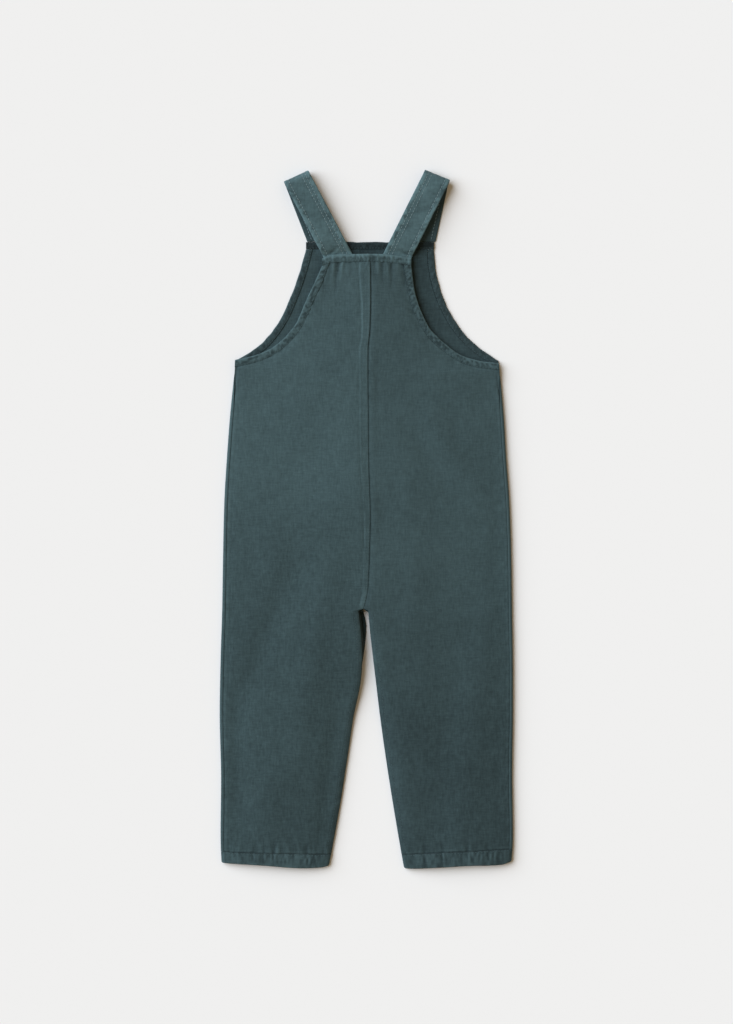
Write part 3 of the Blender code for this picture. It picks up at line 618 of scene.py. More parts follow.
    def panel_rows(
        self, side: Side, front: bool, ends: tuple[float, ...], pitch: float
    ) -> Iterator[tuple[Pair, Pair, float]]:
        """Lays out a panel's rows, from the leg hem up to the bib's hem.

        Args:
            side: Which half.
            front: Whether it is the front's.
            ends: Distances of the first rows from each end.
            pitch: Even spacing between.

        Yields:
            Inner end, outer end and the share of the way up the armhole.
        """
        seam = self.centre_front if front else self.centre_back
        stitch = self.armhole_stitch(side, front)
        underarm = float(stitch.at(0.0)[1]) - self.half_gap
        start = self.hem_stitch_inner_y + self.half_gap
        for y in start + spaced(self.body_top - start, ends, (0.0,), pitch):
            end_y = self.outer_y(side, y, underarm)
            yield (self.inner_x(side, y, seam), y), (self.silhouette_x(side, end_y), end_y), 0.0

        def top_y(x: float) -> float:
            """Plan y of the panel's upper end at x."""
            return (self.front_bib_stitch if front else self.bib_stitch_y(x)) - self.half_gap

        length = top_y(read(self.centre_back, "x", self.back_bib_stitch[2].y)) - self.body_top
        for climb in spaced(length, (0.0,), ends[::-1], pitch)[1:]:
            share = climb / length
            y = self.body_top + climb
            end = tuple(stitch.beside(share, -side.sign * self.half_gap))
            if share == 1.0:
                x = float(stitch.at(1.0)[0])
                end = (x - side.sign * self.half_gap, top_y(x))
            yield (self.inner_x(side, y, seam), y), end, share


class NodeSheet:
    """Small helper that wires the nodes of one tree."""

    def __init__(self, tree: bpy.types.NodeTree) -> None:
        """Keeps the tree to add to."""
        self.tree = tree

    def add(self, kind: str, **settings: object) -> bpy.types.Node:
        """Adds a node and sets its fields."""
        node = self.tree.nodes.new(f"ShaderNode{kind}")
        for key, value in settings.items():
            setattr(node, key, value)
        return node

    def put(self, node: bpy.types.Node, values: dict[str | int, object]) -> None:
        """Links or sets inputs of a node."""
        for name, value in values.items():
            socket = node.inputs[name]
            if isinstance(value, bpy.types.NodeSocket):
                self.tree.links.new(value, socket)
            else:
                socket.default_value = value

    def math(self, operation: str, *values: object) -> bpy.types.NodeSocket:
        """Adds a math node and gives its output."""
        node = self.add("Math", operation=operation)
        self.put(node, dict(enumerate(values)))
        return node.outputs[0]

    def noise(
        self, vector: bpy.types.NodeSocket, scale: float, detail: float, rough: float = 0.5
    ) -> bpy.types.NodeSocket:
        """Adds a noise texture and gives its factor."""
        node = self.add("TexNoise")
        self.put(node, {"Vector": vector, "Scale": scale, "Detail": detail, "Roughness": rough})
        return node.outputs["Fac"]

    def scaled(self, vector: bpy.types.NodeSocket, scale: tuple[float, ...]) -> bpy.types.NodeSocket:
        """Scales a vector by three numbers."""
        node = self.add("VectorMath", operation="MULTIPLY")
        self.put(node, {0: vector, 1: scale})
        return node.outputs["Vector"]

    def mix(
        self, factor: bpy.types.NodeSocket, dark: Sequence[float], light: Sequence[float]
    ) -> bpy.types.NodeSocket:
        """Goes from a dark colour to a light one."""
        node = self.add("Mix", data_type="RGBA", clamp_factor=True)
        self.put(node, {"Factor": factor, 6: (*dark, 1.0), 7: (*light, 1.0)})
        return node.outputs[2]


def new_group(name: str, **sockets: str) -> tuple[bpy.types.NodeTree, NodeSheet, bpy.types.Node]:
    """Makes a node group.

    Args:
        name: Its name.
        sockets: Its sockets' names, each with the way and the kind, as in "INPUT Vector".

    Returns:
        The group, its sheet and the node that its inputs come from.
    """
    tree = bpy.data.node_groups.new(name, "ShaderNodeTree")
    for socket, spec in sockets.items():
        way, kind = spec.split()
        tree.interface.new_socket(socket, in_out=way, socket_type=f"NodeSocket{kind}")
    return tree, NodeSheet(tree), tree.nodes.new("NodeGroupInput")


def new_material(name: str) -> tuple[bpy.types.Material, NodeSheet, bpy.types.Node]:
    """Makes a material, and gives its sheet and its shader too."""
    material = bpy.data.materials.new(name)
    material.use_nodes = True
    return material, NodeSheet(material.node_tree), material.node_tree.nodes["Principled BSDF"]


@dataclass(frozen=True)
class ThreadFinish:
    """The sewing thread: a tone near the cloth's, a little smoother.

    Attributes:
        name: Name of the material.
        colour: Its colour, linear.
        roughness: Its roughness.
    """

    name: str = "topstitch thread"
    colour: Colour = (0.046, 0.080, 0.087)
    roughness: float = 0.72

    def build(self) -> bpy.types.Material:
        """Makes the material."""
        material, sheet, shader = new_material(self.name)
        tone = sheet.noise(sheet.add("TexCoord").outputs["Object"], 240.0, 2.0)
        dark, light = ([c * share for c in self.colour] for share in (0.72, 1.35))
        sheet.put(shader, {
            "Roughness": self.roughness, "Specular IOR Level": 0.25, "Base Color": sheet.mix(tone, dark, light),
        })
        return material


@dataclass(frozen=True)
class TwillWeave:
    """The cloth's weave as a node group: fine diagonal ribs, broken by the threads and their slubs.

    Attributes:
        rib: Distance between ribs across them, in metres.
        thread: Width of one cross thread, in metres.
    """

    rib: float = 0.00078
    thread: float = 0.00052

    def build(self) -> bpy.types.NodeTree:
        """Makes the group, with the grain's place in and a height and a shade out."""
        tree, sheet, entry = new_group(
            "twill weave", Grain="INPUT Vector", Height="OUTPUT Float", Shade="OUTPUT Float"
        )
        grain = entry.outputs["Grain"]
        parts = sheet.add("SeparateXYZ")
        sheet.put(parts, {0: grain})
        u, v = parts.outputs["X"], parts.outputs["Y"]
        wander = sheet.noise(sheet.scaled(grain, (420.0, 150.0, 1.0)), 1.0, 2.0)
        diagonal = sheet.math("ADD", u, sheet.math("MULTIPLY", v, 0.7))
        turn = sheet.math(
            "MULTIPLY_ADD", diagonal, 2.0 * math.pi / self.rib, sheet.math("MULTIPLY", wander, 5.0)
        )
        ribs = sheet.math("MULTIPLY_ADD", sheet.math("SINE", turn), 0.5, 0.5)
        beat = sheet.math("SINE", sheet.math("MULTIPLY", v, 2.0 * math.pi / self.thread))
        threads = sheet.math("MULTIPLY_ADD", beat, 0.16, 0.84)
        slub = sheet.noise(sheet.scaled(grain, (1500.0, 260.0, 1.0)), 1.0, 1.0)
        height = sheet.math("MULTIPLY_ADD", slub, 0.5, sheet.math("MULTIPLY", ribs, threads))
        shade = sheet.math("SUBTRACT", height, 0.72)
        sheet.put(tree.nodes.new("NodeGroupOutput"), {"Height": height, "Shade": shade})
        return tree


@dataclass(frozen=True)
class GarmentDye:
    """The washed dye as a node group: soft clouds, fine mottle, ridges lighter by wear, and painted shade in
    creases and hollows.

    Attributes:
        clouds: Share of the broad soft patches in the tone.
        mottle: Share of the streaks along the cloth.
        speckle: Share of the streaks across it.
        wear_and_shade_share: Share that the rub attribute, of wear and painted shade, has.
    """

    clouds: float = 0.30
    mottle: float = 0.72
    speckle: float = 0.62
    wear_and_shade_share: float = 0.50

    def build(self) -> bpy.types.NodeTree:
        """Makes the group, with the place and the wear and painted shade in and a tone from dark to light out."""
        tree, sheet, entry = new_group(
            "garment dye", Place="INPUT Vector", Rub="INPUT Float", Tone="OUTPUT Float"
        )
        place = entry.outputs["Place"]
        broad = sheet.noise(place, 14.0, 2.0)
        small = sheet.noise(sheet.scaled(place, (1.0, 0.20, 1.0)), 560.0, 3.0, 0.62)
        specks = sheet.noise(sheet.scaled(place, (0.20, 1.0, 1.0)), 620.0, 3.0, 0.62)
        tone = 0.5
        for layer, share in ((broad, self.clouds), (small, self.mottle), (specks, self.speckle)):
            tone = sheet.math("MULTIPLY_ADD", sheet.math("SUBTRACT", layer, 0.5), share, tone)
        tone = sheet.math("MULTIPLY_ADD", entry.outputs["Rub"], self.wear_and_shade_share, tone)
        sheet.put(tree.nodes.new("NodeGroupOutput"), {"Tone": tone})
        return tree


@dataclass(frozen=True)
class TwillFinish:
    """The cotton twill as one panel shows it.

    Attributes:
        name: Name of the material.
        tone: How light the panel is against the others, painted light and shade included.
        fade: Plan y and lightness there, from 0 to 1 with 0.5 as it is, in rising order: painted light falloff
            along the garment.
        colour: The cloth's colour, linear.
        sheen: Weight of the nap's sheen.
    """

    name: str
    tone: float = 1.0
    fade: tuple[Pair, ...] = ()
    colour: Colour = (0.0400, 0.0705, 0.0775)
    sheen: float = 0.10

    def build(self, weave: bpy.types.NodeTree, dye: bpy.types.NodeTree) -> bpy.types.Material:
        """Makes the material from the weave's and the dye's node groups."""
        material, sheet, shader = new_material(self.name)
        place = sheet.add("TexCoord").outputs["Object"]
        woven, dyed = (sheet.add("Group", node_tree=group) for group in (weave, dye))
        sheet.put(woven, {"Grain": sheet.add("UVMap", uv_map=GRAIN_MAP).outputs["UV"]})
        sheet.put(dyed, {"Place": place, "Rub": sheet.add("Attribute", attribute_name=WEAR_AND_SHADE).outputs["Fac"]})
        tone = sheet.math("MULTIPLY_ADD", woven.outputs["Shade"], 0.30, dyed.outputs["Tone"])
        # painted light falloff: lighter towards the bib and darker towards the leg hems
        if self.fade:
            tone = sheet.math("ADD", tone, self.painted_falloff_tone(sheet, place))
        dark = [c * self.tone * 0.52 for c in self.colour]
        light = [c * self.tone * 1.48 + 0.002 for c in self.colour]
        nap = sheet.noise(place, 900.0, 2.0)
        bump = sheet.add("Bump")
        sheet.put(bump, {
            "Strength": 0.55, "Distance": 0.00028,
            "Height": sheet.math("MULTIPLY_ADD", nap, 0.5, woven.outputs["Height"]),
        })
        sheet.put(shader, {
            "Base Color": sheet.mix(tone, dark, light),
            "Roughness": sheet.math("MULTIPLY_ADD", tone, -0.10, 0.94),
            "Specular IOR Level": 0.18, "Sheen Weight": self.sheen, "Sheen Roughness": 0.45,
            "Sheen Tint": (0.75, 0.92, 1.0, 1.0), "Normal": bump.outputs["Normal"],
        })
        return material

    def painted_falloff_tone(self, sheet: NodeSheet, place: bpy.types.NodeSocket) -> bpy.types.NodeSocket:
        """Adds the painted light falloff along the garment, and gives what it adds to the tone."""
        low, high = self.fade[0][0], self.fade[-1][0]
        parts = sheet.add("SeparateXYZ")
        sheet.put(parts, {0: place})
        ramp = sheet.add("ValToRGB")
        ramp.color_ramp.interpolation = "EASE"
        stops = ramp.color_ramp.elements
        for y, value in self.fade[1:-1]:
            stops.new((y - low) / (high - low)).color = (value, value, value, 1.0)
        for stop, (_, value) in ((stops[0], self.fade[0]), (stops[-1], self.fade[-1])):
            stop.color = (value, value, value, 1.0)
        share = sheet.math("MULTIPLY_ADD", parts.outputs["Y"], 1.0 / (high - low), -low / (high - low))
        sheet.put(ramp, {0: share})
        return sheet.math("SUBTRACT", ramp.outputs["Color"], 0.5)


def new_piece(
    name: str, points: Array, faces: Sequence[Sequence[int]], material: bpy.types.Material
) -> bpy.types.Object:
    """Makes an object from points, faces and a finish, and links it to the scene."""
    mesh = bpy.data.meshes.new(name)
    mesh.from_pydata(np.asarray(points).tolist(), [], faces)
    mesh.materials.append(material)
    piece = bpy.data.objects.new(name, mesh)
    bpy.context.scene.collection.objects.link(piece)
    LOG.info("%s: %d faces", name, len(mesh.polygons))
    return piece


def place(piece: bpy.types.Object, *nodes: str) -> bpy.types.Object:
    """Puts a piece on the garment, in the place of the solids that it stands for."""
    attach(piece, BODY)
    if nodes:
        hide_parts(*nodes)
    return piece


@dataclass
class Shell:
    """A closed wall of cloth between two matching grids of points.

    Attributes:
        name: Name of the piece.
        upper: Grid of points on its right side, rows by columns by 3.
        under: Matching grid on its other side.
        grain: Place on the cloth of each point, rows by columns by 2, in metres.
        rub: From -1 in a crease to 1 on a ridge that wear has made lighter, rows by columns; the darkening in
            creases, hollows and shaded parts is painted shade.
        ring: Whether the last row joins the first.
        under_wear_and_shade: The same as rub for the whole of its other side. On the straps' other side it paints
            shade, and on the front it lifts the rolled edges out of the panel's painted shade.
    """

    name: str
    upper: Array
    under: Array
    grain: Array
    rub: Array
    ring: bool = False
    under_wear_and_shade: float = 0.0
    SHARP_ANGLE: float = 62.0

    def faces(self) -> Array:
        """Faces of the closed wall: both sides, then the rims."""
        rows, columns = self.upper.shape[:2]
        total = rows * columns
        index = np.arange(total).reshape(rows, columns)
        if self.ring:
            index = np.vstack([index, index[:1]])
        a, b, c, d = index[:-1, :-1], index[1:, :-1], index[1:, 1:], index[:-1, 1:]
        quads = [np.stack([a, b, c, d], -1), total + np.stack([a, d, c, b], -1)]
        rims = [index[:, 0], index[::-1, -1]]
        if not self.ring:
            rims += [index[0, ::-1], index[-1]]
        for rim in rims:
            a, b = rim[:-1], rim[1:]
            quads.append(np.stack([a, total + a, total + b, b], -1))
        return np.concatenate([quad.reshape(-1, 4) for quad in quads])

    def build(self, material: bpy.types.Material) -> bpy.types.Object:
        """Makes the piece with its finish, grain map and rub attribute of wear and painted shade."""
        points = np.concatenate([self.upper.reshape(-1, 3), self.under.reshape(-1, 3)])
        faces = self.faces()
        piece = new_piece(self.name, points, faces.tolist(), material)
        mesh = piece.data
        a, b, c, d = (points[faces[:, k]] for k in range(4))
        if (np.cross(b, c) * a + np.cross(c, d) * a).sum() < 0:
            mesh.flip_normals()
        corners = np.empty(len(mesh.loops), int)
        mesh.loops.foreach_get("vertex_index", corners)
        grain = np.concatenate([self.grain.reshape(-1, 2)] * 2)
        layer = mesh.uv_layers.new(name=GRAIN_MAP)
        layer.uv.foreach_set("vector", grain[corners].astype(np.float32).ravel())
        attribute = mesh.attributes.new(WEAR_AND_SHADE, "FLOAT", "POINT")
        rub = np.concatenate([self.rub.ravel(), np.full(self.rub.size, self.under_wear_and_shade)])
        attribute.data.foreach_set("value", np.clip(rub, -1.0, 1.0).astype(np.float32))
        mesh.shade_smooth()
        mesh.set_sharp_from_angle(angle=math.radians(self.SHARP_ANGLE))
        mesh.validate()
        return piece

    def trace(self, columns: Array, rows: Array | None = None, below: bool = False) -> tuple[Array, Array]:
        """Follows a line over the right side, or the other side.

        Args:
            columns: The column, as a number with a fraction, at each row.
            rows: The rows to follow, or all.
            below: Whether the line is on the other side.

        Returns:
            Points of the line, and the cloth's normals there.
        """
        rows = np.arange(self.upper.shape[0]) if rows is None else rows
        low = np.clip(np.floor(columns).astype(int), 0, self.upper.shape[1] - 2)
        part = (columns - low)[:, None]
        near, far = (self.under, self.upper) if below else (self.upper, self.under)
        points = near[rows, low] * (1 - part) + near[rows, low + 1] * part
        thick = points - (far[rows, low] * (1 - part) + far[rows, low + 1] * part)
        return points, thick / np.linalg.norm(thick, axis=1, keepdims=True)


@dataclass
class Topstitch:
    """Rows of sewing stitches as one joined mesh.

    Attributes:
        name: Name of the piece.
        pitch: Length of one stitch and its gap.
        gap: The gap.
        radius: Radius of the thread.
        sides: Sides of the thread's section.
        points: Points of the stitches so far.
        faces: Faces of the stitches so far.
    """

    name: str
    pitch: float = 0.0031
    gap: float = 0.0006
    radius: float = 0.00024
    sides: int = 6
    points: list[Array] = field(default_factory=list)
    faces: list[tuple[int, ...]] = field(default_factory=list)
    SHARES: tuple[float, ...] = (0.0, 0.18, 0.5, 0.82, 1.0)
    SINK: tuple[float, ...] = mm(-0.30, 0.03, 0.12, 0.03, -0.30)
    SIZE: tuple[float, ...] = (0.55, 1.0, 1.0, 1.0, 0.55)

    def sew(self, line: Array, normals: Array) -> None:
        """Adds a row of stitches along a line of points on the cloth, with the cloth's normals there."""
        reach = walked(line)
        count = int(reach[-1] / self.pitch)
        length = self.pitch - self.gap
        for k in range(count):
            places = (k + 0.5) * reach[-1] / count + length * (np.array(self.SHARES) - 0.5)
            self.add_stitch(*(
                np.stack([np.interp(places, reach, data[:, j]) for j in range(3)], 1)
                for data in (line, normals)
            ))

    def add_stitch(self, centre: Array, up: Array) -> None:
        """Adds one stitch along centre points with normals, whose ends dive into the cloth."""
        way = centre[-1] - centre[0]
        way = way / np.linalg.norm(way)
        n = self.sides
        first = n * len(self.points)
        turn = 2.0 * math.pi * np.arange(n) / n
        for middle, normal, sink, size in zip(centre, up, self.SINK, self.SIZE):
            across = np.cross(way, normal)
            across /= np.linalg.norm(across)
            ring = np.outer(np.cos(turn), across) + np.outer(np.sin(turn), normal) * 0.8
            self.points.append(middle + normal * sink + ring * size * self.radius)
        for k in range(len(centre) - 1):
            for j in range(n):
                a, b = first + k * n + j, first + k * n + (j + 1) % n
                self.faces.append((a, b, b + n, a + n))
        last = first + (len(centre) - 1) * n
        self.faces += [tuple(range(first, first + n))[::-1], tuple(range(last, last + n))]

    def build(self, material: bpy.types.Material) -> None:
        """Makes the joined mesh and puts it on the garment."""
        piece = new_piece(self.name, np.concatenate(self.points), self.faces, material)
        piece.data.shade_smooth()
        place(piece)


@dataclass
class BackPanel:
    """One half of the back: an arched sheet from the leg hem up to the hems of the armhole and the bib.

    Attributes:
        cut: The garment's cut.
        side: Which half.
        pitch: Spacing of the mesh in metres.
        fell_rise: Height of the felled seam.
        fell_slope: Width over which it falls off.
        needle: Distances of the felled seam's two rows of stitches from the seam.
        inseam_needle: Distance of the inseam's stitches from the seam.
        edge_radius: Rounding of the panel's edges.
        near: Distances of the columns close to the inner end.
        far: Distances of the columns close to the outer end.
    """

    cut: Cut
    side: Side
    pitch: float = 0.0021
    fell_rise: float = 0.00052
    fell_slope: float = 0.0009
    needle: Pair = (0.0013, 0.0066)
    inseam_needle: float = 0.0052
    edge_radius: float = 0.0007
    near: tuple[float, ...] = mm(
        0, 0.1, 0.3, 0.6, 1.0, 1.5, 2.0, 2.6, 3.3, 4.0, 4.7, 5.4, 6.1, 6.7, 7.4, 8.2, 9.0, 9.8, 10.6, 11.4, 12.2,
        13.0, 14.0, 15.2,
    )
    far: tuple[float, ...] = mm(12.0, 10.4, 8.8, 7.3, 5.8, 4.4, 3.2, 2.2, 1.3, 0.6, 0.2, 0)

    def shell(self) -> Shell:
        """Makes the panel's two faces."""
        cut, side = self.cut, self.side
        rows = np.array([
            (*inner, end[0] - side.sign * cut.wrap_at(inner[1]).inset * (climb == 0.0), end[1],
             *cut.heights_at(inner[1])[1:], read(cut.centre_back, "fell", inner[1]), climb)
            for inner, end, climb in cut.panel_rows(side, False, mm(0, 0.2, 0.6, 1.2, 2.0), self.pitch)
        ])
        inner, outer, heights, fells, climbs = np.split(rows, [2, 4, 7, 8], axis=1)
        width = np.linalg.norm(outer - inner, axis=1)[:, None]
        count = max(2, round((width.max() - self.near[-1] - self.far[0]) / self.pitch))
        start = self.near[-1]
        self.distance = distance = np.concatenate([
            np.tile(self.near, (len(width), 1)),
            start + (width - self.far[0] - start) * np.arange(1, count) / count,
            width - np.array(self.far),
        ], axis=1)
        share = distance / width
        plan = inner[:, None] + (outer - inner)[:, None] * share[..., None]
        for r in np.nonzero(climbs[:, 0] > 0.2)[0]:
            across = (plan[r, :, 0] - inner[r, 0]) / (outer[r, 0] - inner[r, 0])
            chord = inner[-1] + (outer[-1] - inner[-1]) * across[:, None]
            bulge = [cut.bib_stitch_y(x) - cut.half_gap - y for x, y in chord]
            plan[r, :, 1] += np.array(bulge) * climbs[r] ** 6
        x, y = plan[..., 0], plan[..., 1]
        arch = arched(share)
        leg = inner[:, 1:] < cut.crotch_y
        from_side = width - distance
        rim = np.minimum(distance, from_side)
        ends = np.minimum(y - y[0], y[-1][None] - y)
        z = heights[:, :1] + (heights[:, 2:] - heights[:, :1]) * share + heights[:, 1:2] * arch
        z += sum(fold.swell(x, y) for fold in cut.folds) * np.minimum(1.0, 3.0 * arch)
        z -= cut.inseam_drop * np.maximum(0.0, 1.0 - distance / cut.inseam_drop_width) ** 2 * leg
        z += smooth(0.0, 0.012, rim) * self.drape(x, y)
        fine, wear_and_shade_amount = self.relief(x, y, distance, from_side, fells, leg)
        rounding = edge_round(np.minimum(rim, np.maximum(ends, 0.0)), self.edge_radius)
        kept = self.joint_depth(y, distance, from_side, ends)
        upper_z = z + (cut.wall + fine) * (kept + (1.0 - kept) * rounding)
        under_z = z + cut.wall * 0.20 * (1.0 - rounding)
        # The cloth is darker where the panel's edges round over, as painted shade.
        return Shell(
            f"back_cloth_{side.title}", np.dstack([plan, upper_z]), np.dstack([plan, under_z]), plan.copy(),
            wear_and_shade_amount - 0.25 * (1.0 - rounding),
        )

    def joint_depth(self, y: Array, distance: Array, from_side: Array, ends: Array) -> Array:
        """Share of the thickness left at the joint with the next piece, which hardly shows in places."""
        centre = 0.42 + 0.30 * smooth(-0.16, -0.10, -y) + 0.24 * smooth(0.045, 0.075, -y)
        inseam = 0.42 * smooth(0.0955, 0.1000, -y)
        centre = np.where(y < self.cut.crotch_y, inseam, centre)
        side = np.where(y > 0.080, 0.97, 0.97 - self.side.pick(0.12, 0.0) * smooth(0.10, 0.28, -y))
        nearest = np.minimum(np.minimum(distance, from_side), ends)
        return np.where(nearest == distance, centre, np.where(nearest == from_side, side, 0.86))

    def drape(self, x: Array, y: Array) -> Array:
        """Soft unevenness of the laid cloth, which both faces share."""
        seed = self.side.pick(11, 23)
        layers = ((0.060, 0.00075, seed, 1.7), (0.027, 0.00042, seed + 1, 1.5), (0.012, 0.00014, seed + 2))
        return sum(Crumple(*layer).at(x, y) for layer in layers)

    def relief(
        self, x: Array, y: Array, distance: Array, from_side: Array, fells: Array, leg: Array
    ) -> tuple[Array, Array]:
        """Works out the fine relief of the right side.

        Args:
            x: Plan x of the points.
            y: Plan y of the points.
            distance: Distances from the inner end.
            from_side: Distances from the outer end.
            fells: Width of the felled band at each row.
            leg: Whether a row is below the crotch.

        Returns:
            Rises over the plain thickness, and how light or dark the cloth is: lighter where wear has thinned the
            dye on rises, darker as painted shade in creases and hollows.
        """
        cut, side = self.cut, self.side
        seed = side.pick(40, 60)
        body = 1.0 - leg
        if side is Side.LEFT:
            felled, lines = self.centre_seam(y, distance, fells, seed)
        else:
            felled, lines = self.centre_groove(y, distance, seed)
        felled, lines = felled * smooth(cut.crotch_y, cut.crotch_y + 0.006, y) * body, lines * body
        above_hem, below_bib = y - y[0], y[-1][None] - y
        low, high, armhole = (y < 0.13) * 1.0, (y > 0.18) * 1.0, smooth(0.150, 0.165, y)
        total = sum(
            Puckers(pitch, rise, seed + step, slant, reach).at(along, across) * where
            for pitch, rise, step, slant, reach, along, across, where in (
                (0.0125, 0.00026, 3, 0.8, 0.0070, y, distance, leg),
                (0.0135, 0.00026, 5, 0.9, 0.0062, y, from_side, 1.0),
                (0.0080, 0.00040, 7, 0.15, 0.0105, x, above_hem, 1.0),
                (0.0064, 0.00036, 9, 0.1, 0.0090, x, below_bib, high),
                (0.0078, 0.00030, 11, 0.6, 0.0075, y + x, from_side, armhole),
            )
        )
        total -= 0.00016 * bell(distance - self.inseam_needle, 0.0008) * leg
        stitched = side.pick(0.0046, 0.0032)
        total -= 0.00012 * bell(from_side - stitched, 0.0007) * low
        total += 0.00006 * bell(from_side - 0.0022, 0.0016) * low
        # A lighter line along the side edge, stronger on the left half that faces the light: wear with a painted
        # highlight.
        held = side.pick(1.0, 0.35)
        lines += (0.10 + Crumple(0.011, 0.30, seed + 17).along(y)) * bell(from_side - 0.0014, 0.0009) * held
        lines += 0.10 * (1.0 - smooth(stitched - 0.0005, stitched + 0.0008, from_side)) * low
        wander = above_hem - Crumple(0.0060, 0.0005, seed + 18).along(x)
        total += (0.00022 + Crumple(0.007, 0.00020, seed + 19).along(x)) * bell(wander - 0.0019, 0.0009)
        lines -= (0.40 + Crumple(0.005, 0.40, seed + 23).along(x)) * bell(wander - 0.0002, 0.0007)
        total += sum(crease.at(x, y) for crease in side.pick(*BACK_CREASES))
        total += Crumple(0.0058, 0.00006, seed + 13, 1.3).at(x, y)
        return total + felled, np.clip(total / 0.0006, -1.0, 1.0) * 0.70 + lines

    def centre_seam(self, y: Array, distance: Array, fells: Array, seed: int) -> tuple[Array, Array]:
        """Works out the felled band at the centre, which is plainest near the bib.

        Args:
            y: Plan y of the points.
            distance: Distances from the seam.
            fells: Width of the band.
            seed: Which of the patterns.

        Returns:
            Rises, and how light or dark its lines are.
        """
        held = 0.40 + 0.60 * smooth(0.15, 0.23, y)
        edge = distance - fells - Crumple(0.012, 0.0007, seed + 21).along(y)
        ridge = smooth(0.0, 0.0007, distance) * (1.0 - smooth(-0.0003, self.fell_slope, edge))
        total = self.fell_rise * ridge * held
        total += Puckers(0.0083, 0.00022, seed, 0.2).at(y, distance) * ridge
        for needle in self.needle:
            total -= 0.00018 * bell(distance - needle, 0.0006) * (distance < fells + 0.001)
        total -= 0.00020 * bell(edge - 0.0014, 0.0011) * held
        uneven = 0.62 + Crumple(0.0065, 0.38, seed + 22).along(y)
        lines = 0.95 * uneven * held * bell(distance - 0.0021, 0.0008)
        lines += 0.75 * uneven * held * bell(edge + 0.0002, 0.0008)
        end = 1.00 + Crumple(0.0022, 0.55, seed + 24).at(y * 0.7 + distance, distance)
        end *= bell(y + 0.0855, 0.0090)
        lines += end * bell(distance - 0.0024, 0.0024)
        return total, lines - 0.45 * bell(distance, 0.0009) * self.open_line(y)

    def open_line(self, y: Array) -> Array:
        """How dark the centre line is: it closes towards the crotch."""
        return 1.0 - smooth(0.060, 0.080, -y)

    def centre_groove(self, y: Array, distance: Array, seed: int) -> tuple[Array, Array]:
        """Works out the other half's side of the centre seam, as centre_seam does."""
        total = -0.00030 * bell(distance, 0.0020) + 0.00016 * bell(distance - 0.0058, 0.0030)
        total += Puckers(0.0077, 0.00020, seed, -0.4, 0.0060).at(y, distance)
        high = smooth(0.12, 0.22, y)
        lines = 0.34 * bell(distance - 0.0019, 0.0007) * high
        lines -= 0.55 * bell(distance, 0.0010) * self.open_line(y)
        return total, lines

    def build(self, finish: bpy.types.Material, thread: Topstitch) -> bpy.types.Object:
        """Makes the panel with its finish, and sews its seams with the thread."""
        shell = self.shell()
        ys = shell.upper[:, 0, 1]
        rows = np.arange(len(ys))
        fells = np.array([read(self.cut.centre_back, "fell", y) for y in ys])
        runs = [(self.inseam_needle, rows[ys < self.cut.crotch_y - 0.006])]
        if self.side is Side.LEFT:
            body = ys > self.cut.crotch_y + 0.004
            runs = [(needle, rows[body & (fells > needle - 0.0008)]) for needle in self.needle] + runs
        places = np.arange(self.distance.shape[1])
        for needle, keep in runs:
            columns = np.array([np.interp(needle, self.distance[r], places) for r in keep])
            thread.sew(*shell.trace(columns, keep))
        return place(shell.build(finish), f"back_{self.side.title}")


